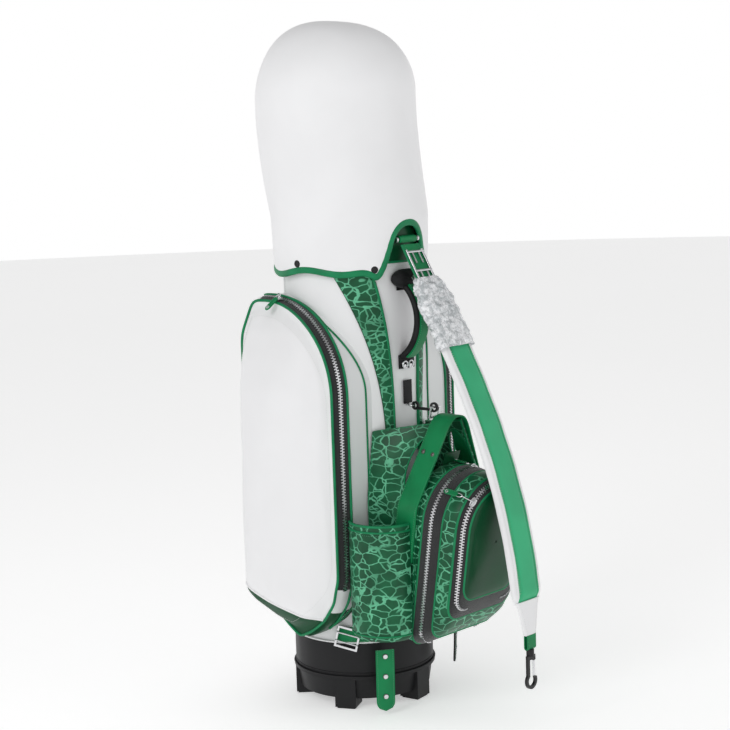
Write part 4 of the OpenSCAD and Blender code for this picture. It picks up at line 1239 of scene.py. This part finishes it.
def puller_parts(shape, root, down, out, span):
    """A wire link and a leather pull tab with an eyelet, hanging from its root."""
    down, out = unit(np.asarray(down, float)), unit(np.asarray(out, float))
    across = np.cross(down, out)
    a = turns(20)
    link = root + down * (7 - 7.5 * np.cos(a))[:, None] + across * (3.2 * np.sin(a))[:, None]
    shape.tube(link, 0.95, 1, True, 8, out)
    spots = np.linspace(10, span, 16)
    width = 5.2 * np.clip((span - spots + 0.6) / 5.2, 0.15, 1) ** 0.5 * np.clip((spots - 8) / 5, 0.6, 1)
    path = root + down * spots[:, None]
    profile = pill(2.0, 3.0, 14, 0.45)[None] * np.stack([width, np.ones(16)], -1)[:, None]
    shape.sweep(path, profile, 0, False, out)
    for face in (1, -1):
        eye = root + down * (span - 5.6) + out * 1.5 * face
        ring = eye + down * (2.5 * np.cos(a))[:, None] + across * (2.5 * np.sin(a))[:, None]
        shape.tube(ring, 0.8, 1, True, 6, out)
    for shift in (-3.6, 3.6):
        shape.stitches((path + across * shift + out * 1.4)[1:-4], out, 2)


def arc_frame(angle, depth, radius):
    """Place on the ball pocket's top arc, and the directions along it, out of it and back from it."""
    c, s = math.cos(math.radians(angle)), math.sin(math.radians(angle))
    base = lean(np.zeros(3))
    ways = [lean(np.array(way)) - base for way in ((c, 0.0, -s), (s, 0.0, c), (0.0, 1.0, 0.0))]
    return lean(np.array([radius * s, depth, BALL_SPRING + radius * c])), *ways


def garment_pulls(side):
    """Slider at the top of a garment pocket's arc, 10 degrees past its middle, and its hanging pull tab."""
    a = math.radians(100)
    radial = np.array([0, math.cos(a), math.sin(a)])
    origin = np.array([-153.5, GARMENT_Y, GARMENT_Z]) + radial * (GARMENT_R - 1.4)
    shape = Shape("metal")
    along = (0, math.sin(a), -math.cos(a))
    slider_parts(shape, origin, along, unit(radial + (-0.3, 0, 0)), np.array([-2.5, 0, -0.5]))
    node = "garment_slider_" + side_name(side)
    for_side(shape, side).done(node + "_metal", node, "metal", node)
    turn = Matrix.Rotation(math.radians(10), 3, "X")
    tilt = Matrix.Rotation(math.radians(52), 3, "Y")
    root = np.array([-141.5, GARMENT_Y, GARMENT_Z]) + radial * (GARMENT_R + 1.4)
    root = root + np.array(turn @ Vector((-9.0, 0, 5.6)))
    down, face = (np.array(turn @ (tilt @ Vector(way))) for way in ((0, 0, -1), (-1, 0, 0)))
    shape = Shape("belt_leather", "metal", "pale_thread")
    puller_parts(shape, root, down, face, 42)
    node = "garment_puller_" + side_name(side)
    for_side(shape, side).done(node + "_leather", node, "belt_leather", node)


def ball_pulls(name, depth, hinge_depth, inset, angle):
    """Slider on one of the ball pocket's zips, at an angle on its arc, and its pull tab lying back."""
    origin, along, out, back = arc_frame(angle, depth, BALL_HALF - inset + 1.2)
    if inset > 4:
        out = unit(out - back * 0.9)
    hinge, _, lift, _ = arc_frame(angle, hinge_depth, BALL_HALF + 1.4 + 5)
    shape = Shape("metal")
    slider_parts(shape, origin, along, out, hinge - origin - out * 5.0)
    node = "ball_slider_" + name
    shape.done(node + "_metal", node, "metal", node)
    shape = Shape("belt_leather", "metal", "pale_thread")
    drop = math.radians(88)
    puller_parts(shape, hinge, back * math.sin(drop) - lift * math.cos(drop), lift, 40)
    node = "ball_puller_" + name
    shape.done(node + "_leather", node, "belt_leather", node)


def zip_pulls():
    """Sliders on the four zips, each with its green pull tab."""
    for side in SIDES:
        garment_pulls(side)
    ball_pulls("rear", -228, -220, -1.4, 8)
    ball_pulls("front", -290.5, -273, 8.5, -48)


# ---------- shoulder strap ----------
# the strap's curve: four points of a cubic in Y and Z
STRAP = ((-140, 858), (-250, 660), (-385, 480), (-397, 165))


def strap_line(t, lift=0.0, x=0.0):
    """Points on the strap's curve and the directions out of it."""
    t = np.asarray(t, float)
    place = bezier(STRAP, t)
    step = unit(bezier(STRAP, np.minimum(t + 0.01, 1)) - bezier(STRAP, np.maximum(t - 0.01, 0)))
    out = np.stack([t * 0, step[..., 1], -step[..., 0]], -1)
    return np.stack([t * 0 + x, place[..., 0], place[..., 1]], -1) + out * lift, out


def strap_belt():
    """Green belt with rolled stitched edges, looped round its anchor, and the long adjuster on it."""
    shape = Shape("belt_leather", "pale_thread", "trim_leather")
    t = np.linspace(0.012, 0.42, 60)
    path, out = strap_line(t, 2.0)
    shape.sweep(path, pill(BELT_WIDTH, 4.0, 22, 0.3), 0, False, out)
    for x in (-21.6, 21.6):
        edge, _ = strap_line(t, 2.0, x)
        shape.tube(edge, 2.5, 2, count=10)
    for x in (-17.5, 17.5):
        line, _ = strap_line(t, 4.1, x)
        shape.stitches(line, out, 1)
    a = np.radians(np.linspace(-60, 250, 24))
    loop = np.column_stack([a * 0, -138 + 5.0 * np.cos(a), 862 + 5.0 * np.sin(a)])
    around = np.column_stack([a * 0, np.cos(a), np.sin(a)])
    shape.sweep(loop, pill(BELT_WIDTH, 3.6, 18, 0.3), 0, False, around)
    shape.done("strap_belt_leather", "shoulder_strap", "belt_leather", "strap_belt")
    dress("strap_anchor", "metal")

    metal = Shape("metal")
    t = np.linspace(0.03, 0.145, 30)
    for x in (-20.6, 20.6):
        path, out = strap_line(t, 6.2, x)
        metal.sweep(path, pill(4.2, 3.4, 12, 0.7), 0, False, out)
    for x in (-8.5, 8.5):
        path, out = strap_line(np.linspace(0.095, 0.14, 12), 6.6, x)
        metal.sweep(path, pill(3.4, 2.6, 10, 0.8), 0, False, out)
        path, out = strap_line(np.linspace(0.035, 0.07, 8), 6.4, x)
        metal.sweep(path, pill(3.4, 2.4, 10, 0.8), 0, False, out)
    for at in (0.036, 0.092, 0.142):
        start, out = strap_line(np.array([at, at]), 6.4)
        bar = start + np.array([[-22.0, 0, 0], [22.0, 0, 0]])
        metal.tube(np.linspace(bar[0], bar[1], 6), 2.3, 0)
    metal.done("strap_buckle_metal", "shoulder_strap", "metal", "strap_buckle")


def strap_pad():
    """Shoulder pad: a crowned green cushion between two padded white edges, with sewn channels."""
    count, around = 90, 48
    t = np.linspace(0.275, 0.928, count)
    share = np.linspace(0, 1, count)
    end = smooth(np.minimum(share, 1 - share) / 0.035 + 0.15)
    path, out = strap_line(t, -0.4)
    x, y = boxy(turns(around), 0.62)
    seam, channel = 0.66, 0.84
    pillow = 1 - 0.30 * np.exp(-(((np.abs(x) - seam) / 0.035) ** 2))
    pillow = pillow - 0.22 * np.exp(-(((np.abs(x) - channel) / 0.03) ** 2))
    half_w = PAD_HALF * (0.93 + 0.07 * end) + crumple(path, 70, 0.8, 2.0)
    half_t = PAD_THICK * end * (1 + 0.05 * np.sin(share * 38))
    profile = np.stack([half_w[:, None] * x[None], half_t[:, None] * (y * pillow)[None]], -1)
    shape = Shape("bright_leather", "white_leather", "white_thread", "pale_thread")
    white = np.abs(x) > seam
    across = frames(path, False, out)[1]
    rows = path[:, None] + across[:, None] * profile[..., :1] + out[:, None] * profile[..., 1:]
    shape.grid(rows, lambda i, j: 1 if white[j] and white[(j + 1) % around] else 0, False, True, True)
    for x0, mark in ((0.70, 2), (0.88, 2), (0.60, 3)):
        for sign in (-1, 1):
            for top in (1, -1):
                lift = PAD_THICK * (1 - x0 ** (2 / 0.62)) ** 0.31
                line, _ = strap_line(t[3:-3], -0.4 + top * (lift * 0.93 + 0.2), sign * PAD_HALF * x0)
                shape.stitches(line, out[3:-3] * top, mark)
    pad = shape.done("strap_pad_cushion", "shoulder_strap", "bright_leather", "strap_pad")


def strap_wrap():
    """Crumpled wrapping film round the adjuster's lower end and the top of the pad."""
    count, around = 70, 72
    t = np.linspace(0.115, 0.318, count)
    path, out = strap_line(t, 2.5)
    x, y = boxy(turns(around), 0.7)
    share = np.linspace(0, 1, count)[:, None]
    wide = np.interp(share, (0, 0.15, 0.5, 0.9, 1), (29, 38, 42, 43.5, 44))
    thick = np.interp(share, (0, 0.15, 0.5, 0.9, 1), (9, 14.0, 15.0, 14.0, 12.5))
    across = frames(path, False, out)[1]
    rows = path[:, None] + across[:, None] * (wide * x)[..., None] + out[:, None] * (thick * y)[..., None]
    push = np.abs(crumple(rows, 15, 9.0, 1.0)) - 1.4 + crumple(rows, 6, 2.6, 4.0)
    away = unit(rows - path[:, None])
    rows = rows + away * np.clip(push, -2.6, 4.4)[..., None]
    shape = Shape("film")
    shape.plate(rows, 0.5, 0, False, True)
    shape.done("strap_wrap_film", "shoulder_strap", "film", "strap_wrap", 60)


def strap_end():
    """White V patch, green loop and the swivel hook at the strap's lower end."""
    shape = Shape("white_leather", "belt_leather", "white_thread", "pale_thread")
    t = np.linspace(0.925, 0.992, 16)
    path, out = strap_line(t)
    width = np.interp(t, (0.925, 0.94, 0.992), (64, 52, 30))
    profile = pill(1.0, 9.0, 18, 0.5)[None] * np.stack([width, np.ones(16)], -1)[:, None]
    shape.sweep(path, profile, 0, False, out)
    for x in (-1, 1):
        line = path + out * 4.4
        line[:, 0] += x * (width / 2 - 4)
        shape.stitches(line[1:-1], out[1:-1], 2)
    tip = strap_line(np.array(1.0))[0]
    heights = np.linspace(8, -15, 14)
    band = tip + np.column_stack([heights * 0, heights * 0, heights])
    for y in (-3.2, 3.2):
        shape.sweep(band + (0, y, 0), pill(25, 2.6, 16, 0.3), 1, False, (0, -1.0, 0))
    a = np.radians(np.linspace(180, 360, 10))
    bend = tip + np.column_stack([a * 0, 3.2 * np.cos(a), -15 + 3.2 * np.sin(a)])
    shape.sweep(bend, pill(25, 2.6, 16, 0.3), 1, False, np.column_stack([a * 0, np.cos(a), np.sin(a)]))
    for x in (-10, 10):
        shape.stitches(band + (x, -4.6, 0), (0, -1.0, 0), 3)
    shape.done("strap_end_leather", "shoulder_strap", "white_leather", "strap_end")
    dress("hook_body", "black_metal")
    dress("hook_gate", "metal")


# ---------- hood ----------
def hood_rim(angle):
    """Height of the hood's lower edge at an angle, softened round the arch's corners."""
    total, half = 0.0, 23
    for shift in (-5, -2.5, 0, 2.5, 5):
        b = np.abs((np.asarray(angle, float) + shift + 180) % 360 - 180)
        arch_shape = np.clip(1 - (np.minimum(b, half) / half) ** 2.6, 0, 1) ** 0.55
        inner = HOOD_FOOT + (HOOD_ARCH - HOOD_FOOT) * arch_shape
        outer = HOOD_RIM + 5 * np.cos(np.radians((b - half) * 6)) - 24 * np.exp(-(((b - half) / 9) ** 2))
        total = total + np.where(b < half, inner, outer)
    return total / 5


def hood_radius(z):
    """Radius of the hood at a height."""
    u = (np.asarray(z, float) - 800) / 462
    return 139 + 7 * np.sin(np.pi * np.clip(u / 1.1, 0, 1))


def hood_shift(z):
    """How far the hood leans back at a height."""
    z = np.asarray(z, float)
    u, s = np.maximum(0, (z - 800) / 462), np.maximum(0, (z - 906) / 356)
    return 24 * np.sin(np.minimum(1, s / 0.55) * np.pi / 2) * (1 - 0.35 * np.maximum(0, u - 0.7) / 0.3)


def hood_point(angle, v, d=0.0):
    """Point of the hood at an angle, v from its rim to its crown."""
    angle, v = np.broadcast_arrays(np.asarray(angle, float), np.asarray(v, float))
    a = np.radians(angle)
    rim = hood_rim(angle)
    wall = v < HOOD_WALL
    q = np.clip((v - HOOD_WALL) / (1 - HOOD_WALL), 0, 1) * np.pi / 2
    low = rim + (HOOD_SHOULDER - rim) * np.clip(v / HOOD_WALL, 0, 1)
    z = np.where(wall, low, HOOD_SHOULDER + (HOOD_TOP - d - HOOD_SHOULDER) * np.sin(q))
    dome = np.where(wall, 1, np.cos(np.minimum(q, 1.5690)) ** 0.78)
    r = (hood_radius(np.minimum(z, HOOD_SHOULDER)) - d) * dome
    return np.stack([-r * np.sin(a), hood_shift(z) - r * np.cos(a), z - 0.12 * r * np.cos(a) * np.sin(q)], -1)


def hood_angles(count):
    """Angles round the hood, closer together at its arch."""
    even = np.arange(count) * 360 / count
    return even - 24 * np.sin(np.radians(even))


def hood():
    """Travel hood: white leather with soft folds, seams, a bound rim and snaps."""
    count = 240
    angle = hood_angles(count)
    v = np.concatenate([np.linspace(0, HOOD_WALL, 34), np.linspace(HOOD_WALL + 0.02, 0.995, 30)])
    rows = hood_point(angle[None], v[:, None])
    centre = np.stack([rows[..., 0] * 0, hood_shift(rows[..., 2]), rows[..., 2]], -1)
    away = unit((rows - centre) * (1, 1, 0))
    fold = crumple(rows * (1, 1, 0.45), 110, 3.2, 8.0) + crumple(rows * (1, 1, 0.6), 42, 0.9, 2.0)
    calm = smooth(v / 0.08) * smooth((1 - v) / 0.25)
    rows = rows + away * (fold * calm[:, None])[..., None]
    shell = Shape("white_leather", "white_thread", "deep_leather")
    shell.plate(rows, 2.4, 0, False, True)
    shell.add(rows[-1], [list(range(count))], 0)
    for a0 in (-HOOD_SEAM, HOOD_SEAM):
        k = int(np.argmin(np.abs((angle - a0 + 180) % 360 - 180)))
        line = rows[:50, k] + away[:50, k] * 0.5
        shell.tube(line, 1.7, 2)
        for step in (-2, 2):
            near = rows[:50, (k + step) % count] + away[:50, k] * 0.15
            shell.stitches(near, away[:50, k], 1)
    shoulder = rows[36] + away[36] * 0.2
    shell.tube(shoulder, 1.4, 0, True, out=(0, 0, 1.0))
    for step in (34, 38):
        shell.stitches(rows[step] + away[step] * 0.15, away[step], 1, True)
    shell.done("hood_shell_leather", "hood", "white_leather", "hood_shell")

    rim = Shape("trim_leather")
    fine = hood_angles(480)
    z = hood_rim(fine) + 3.0
    r = hood_radius(z) + 0.6
    a = np.radians(fine)
    ring = np.column_stack([-r * np.sin(a), hood_shift(z) - r * np.cos(a), z])
    ring = rounded(ring, 4, 480)
    away = unit((ring - (0, 10, 0)) * (1, 1, 0))
    rim.sweep(ring, pill(12.5, 7.4, 14, 0.8), 0, True, away)
    rim.done("hood_binding_leather", "hood", "binding", "hood_binding")

    snaps = Shape("black_metal")
    for a0 in range(30, 360, 60):
        z = float(hood_rim(a0)) + 15
        r = float(hood_radius(z)) + 1.2
        a = math.radians(a0)
        out = np.array([-math.sin(a), -math.cos(a), 0])
        spot = np.array([0, float(hood_shift(z)), z]) + out * r
        snaps.lathe(spot, out, [(7.0, -1), (7.0, 0.8), (6.2, 2.2), (4.6, 2.6), (4.2, 1.9), (1.5, 1.7)], 0, 28)
    snaps.done("hood_snaps_metal", "hood", "black_metal", "hood_snaps")


# ---------- stage ----------
# the camera's place, heading over the floor, pitch and roll, small swing to the right, and lens
CAMERA_AT = (-2.3403, -2.1824, 1.04)
HEADING = (0.7314, 0.6820)
PITCH, ROLL = math.radians(7.41), math.radians(2)
SWING = 0.00594657
LENS, SENSOR = 84.92, 36.0
# each lamp's name, place, target, power and size
LAMPS = (
    ("key", (-3.4, -0.4, 2.6), (0, 0, 0.7), 30, 1.4),
    ("fill", (1.6, -3.4, 1.8), (0, 0, 0.6), 8, 2.0),
    ("top", (-0.4, -0.6, 3.6), (0, 0, 0.9), 6, 1.6),
)
# the floor's radius in metres and how much it glows
FLOOR_R, FLOOR_GLOW = 14.0, 0.42


def camera():
    """Camera at the viewing angle."""
    x, y = HEADING
    ahead = Vector((x * math.cos(PITCH), y * math.cos(PITCH), -math.sin(PITCH))).normalized()
    right = Vector((y, -x, 0)).normalized()
    up = right.cross(ahead)
    c, s = math.cos(ROLL), math.sin(ROLL)
    right, up = right * c - up * s, right * s + up * c
    ahead = (ahead + right * SWING).normalized()
    right = ahead.cross(up).normalized()
    up = right.cross(ahead)
    data = bpy.data.cameras.new("view")
    data.lens, data.sensor_width = LENS, SENSOR
    made = bpy.data.objects.new("view", data)
    bpy.context.scene.collection.objects.link(made)
    turn = Matrix((right, up, -ahead)).transposed()
    made.matrix_world = Matrix.Translation(CAMERA_AT) @ turn.to_4x4()
    bpy.context.scene.camera = made


def lamp(name, place, target, power, size):
    """A soft square lamp aimed at a target."""
    data = bpy.data.lights.new(name, "AREA")
    data.energy, data.size = power, size
    made = bpy.data.objects.new(name, data)
    bpy.context.scene.collection.objects.link(made)
    aim = (Vector(target) - Vector(place)).to_track_quat("-Z", "Y")
    made.matrix_world = Matrix.Translation(place) @ aim.to_matrix().to_4x4()


def surround():
    """A surround that is white near the horizon and softer overhead."""
    world = bpy.data.worlds.new("surround")
    world.use_nodes = True
    tree = world.node_tree
    place = tree.nodes.new("ShaderNodeTexCoord")
    split = tree.nodes.new("ShaderNodeSeparateXYZ")
    ramp = tree.nodes.new("ShaderNodeMapRange")
    ramp.interpolation_type = "SMOOTHSTEP"
    for socket, value in (("From Min", 0.2), ("From Max", 0.5), ("To Min", 1.0), ("To Max", 0.36)):
        ramp.inputs[socket].default_value = value
    tree.links.new(place.outputs["Generated"], split.inputs[0])
    tree.links.new(split.outputs["Z"], ramp.inputs["Value"])
    tree.links.new(ramp.outputs["Result"], tree.nodes["Background"].inputs["Strength"])
    tree.nodes["Background"].inputs["Color"].default_value = (1, 1, 1, 1)
    return world


def studio():
    """Pale floor, soft lamps and a white surround."""
    floor = bpy.data.meshes.new("floor")
    a = turns(96)
    edge = np.column_stack([FLOOR_R * np.cos(a), FLOOR_R * np.sin(a), a * 0])
    floor.from_pydata(edge.tolist(), [], [list(range(len(edge)))])
    paint = Finish("floor_paint")
    tone = paint.noise(1.6, 1.0)
    shade = paint.mix(tone, (0.93, 0.93, 0.93), (0.95, 0.95, 0.95))
    paint.feed(Base_Color=shade, Roughness=tone * 0.05 + 0.8)
    paint.shader.inputs["Emission Color"].default_value = (1, 1, 1, 1)
    paint.shader.inputs["Emission Strength"].default_value = FLOOR_GLOW
    floor.materials.append(paint.material)
    made = bpy.data.objects.new("floor", floor)
    bpy.context.scene.collection.objects.link(made)
    scene = bpy.context.scene
    scene.view_settings.view_transform = "Standard"
    scene.world = surround()
    camera()
    for settings in LAMPS:
        lamp(*settings)


# ---------- operators ----------
class GOLFBAG_OT_body(bpy.types.Operator):
    """Panels, seams, cuff, divider and the crescent panels"""

    bl_idname = "golf_bag.body"
    bl_label = "Body"

    def execute(self, context):
        body_leather()
        for side in SIDES:
            pattern_panel(side)
        return {"FINISHED"}


class GOLFBAG_OT_garment(bpy.types.Operator):
    """The two side pockets"""

    bl_idname = "golf_bag.garment"
    bl_label = "Garment pockets"

    def execute(self, context):
        for side in SIDES:
            garment_pocket(side)
        return {"FINISHED"}


class GOLFBAG_OT_ball(bpy.types.Operator):
    """The front pocket with its two zips"""

    bl_idname = "golf_bag.ball"
    bl_label = "Ball pocket"

    def execute(self, context):
        ball_pocket()
        return {"FINISHED"}


class GOLFBAG_OT_harness(bpy.types.Operator):
    """Wings, arch and ring over the ball pocket"""

    bl_idname = "golf_bag.harness"
    bl_label = "Harness"

    def execute(self, context):
        for side in SIDES:
            wing(side)
        arch()
        return {"FINISHED"}


class GOLFBAG_OT_pouches(bpy.types.Operator):
    """The two bottle pouches"""

    bl_idname = "golf_bag.pouches"
    bl_label = "Bottle pouches"

    def execute(self, context):
        for side in SIDES:
            pouch(side)
        return {"FINISHED"}


class GOLFBAG_OT_handle(bpy.types.Operator):
    """The handle with its cap and base, and the tether"""

    bl_idname = "golf_bag.handle"
    bl_label = "Grab handle"

    def execute(self, context):
        grab_handle()
        tether()
        return {"FINISHED"}


class GOLFBAG_OT_belts(bpy.types.Operator):
    """The lower belts with their tongues, buckles and rivets"""

    bl_idname = "golf_bag.belts"
    bl_label = "Lower belts"

    def execute(self, context):
        for side in SIDES:
            lower_belt(side)
        dress("rivets", "metal")
        return {"FINISHED"}


class GOLFBAG_OT_pulls(bpy.types.Operator):
    """Sliders and pull tabs of the four zips"""

    bl_idname = "golf_bag.pulls"
    bl_label = "Zip sliders"

    def execute(self, context):
        zip_pulls()
        return {"FINISHED"}


class GOLFBAG_OT_strap(bpy.types.Operator):
    """Belt, adjuster, pad, wrap and hook of the shoulder strap"""

    bl_idname = "golf_bag.strap"
    bl_label = "Shoulder strap"

    def execute(self, context):
        strap_belt()
        strap_pad()
        strap_wrap()
        strap_end()
        return {"FINISHED"}


class GOLFBAG_OT_hood(bpy.types.Operator):
    """The travel hood with its binding and snaps"""

    bl_idname = "golf_bag.hood"
    bl_label = "Hood"

    def execute(self, context):
        hood()
        return {"FINISHED"}


class GOLFBAG_OT_studio(bpy.types.Operator):
    """Floor, lamps, surround and camera"""

    bl_idname = "golf_bag.studio"
    bl_label = "Stage"

    def execute(self, context):
        studio()
        return {"FINISHED"}


STEPS = (
    GOLFBAG_OT_body,
    GOLFBAG_OT_garment,
    GOLFBAG_OT_ball,
    GOLFBAG_OT_harness,
    GOLFBAG_OT_pouches,
    GOLFBAG_OT_handle,
    GOLFBAG_OT_belts,
    GOLFBAG_OT_pulls,
    GOLFBAG_OT_strap,
    GOLFBAG_OT_hood,
    GOLFBAG_OT_studio,
)


class GOLFBAG_PT_panel(bpy.types.Panel):
    """Sizes, colours and building steps of the golf bag"""

    bl_label = "Golf staff bag"
    bl_idname = "GOLFBAG_PT_panel"
    bl_space_type = "VIEW_3D"
    bl_region_type = "UI"
    bl_category = "Golf Bag"

    def draw(self, context):
        for group in (context.scene.bag_sizes, context.scene.bag_colours):
            box = self.layout.box()
            for name in group.bl_rna.properties.keys():
                if name not in ("rna_type", "name"):
                    box.prop(group, name)
        for step in STEPS:
            self.layout.operator(step.bl_idname)


CLASSES = (BagSizes, BagColours, *STEPS, GOLFBAG_PT_panel)


def register():
    """Registers the classes and adds the sizes and colours to the scene."""
    for item in CLASSES:
        bpy.utils.register_class(item)
    bpy.types.Scene.bag_sizes = PointerProperty(type=BagSizes)
    bpy.types.Scene.bag_colours = PointerProperty(type=BagColours)


def unregister():
    """Undoes register."""
    del bpy.types.Scene.bag_colours
    del bpy.types.Scene.bag_sizes
    for item in reversed(CLASSES):
        bpy.utils.unregister_class(item)


def main():
    """Builds the bag and its stage."""
    register()
    bpy.ops.golf_bag.studio()
    for step in STEPS[:-1]:
        getattr(bpy.ops.golf_bag, step.bl_idname.split(".")[1])()


if __name__ == "__main__":
    main()
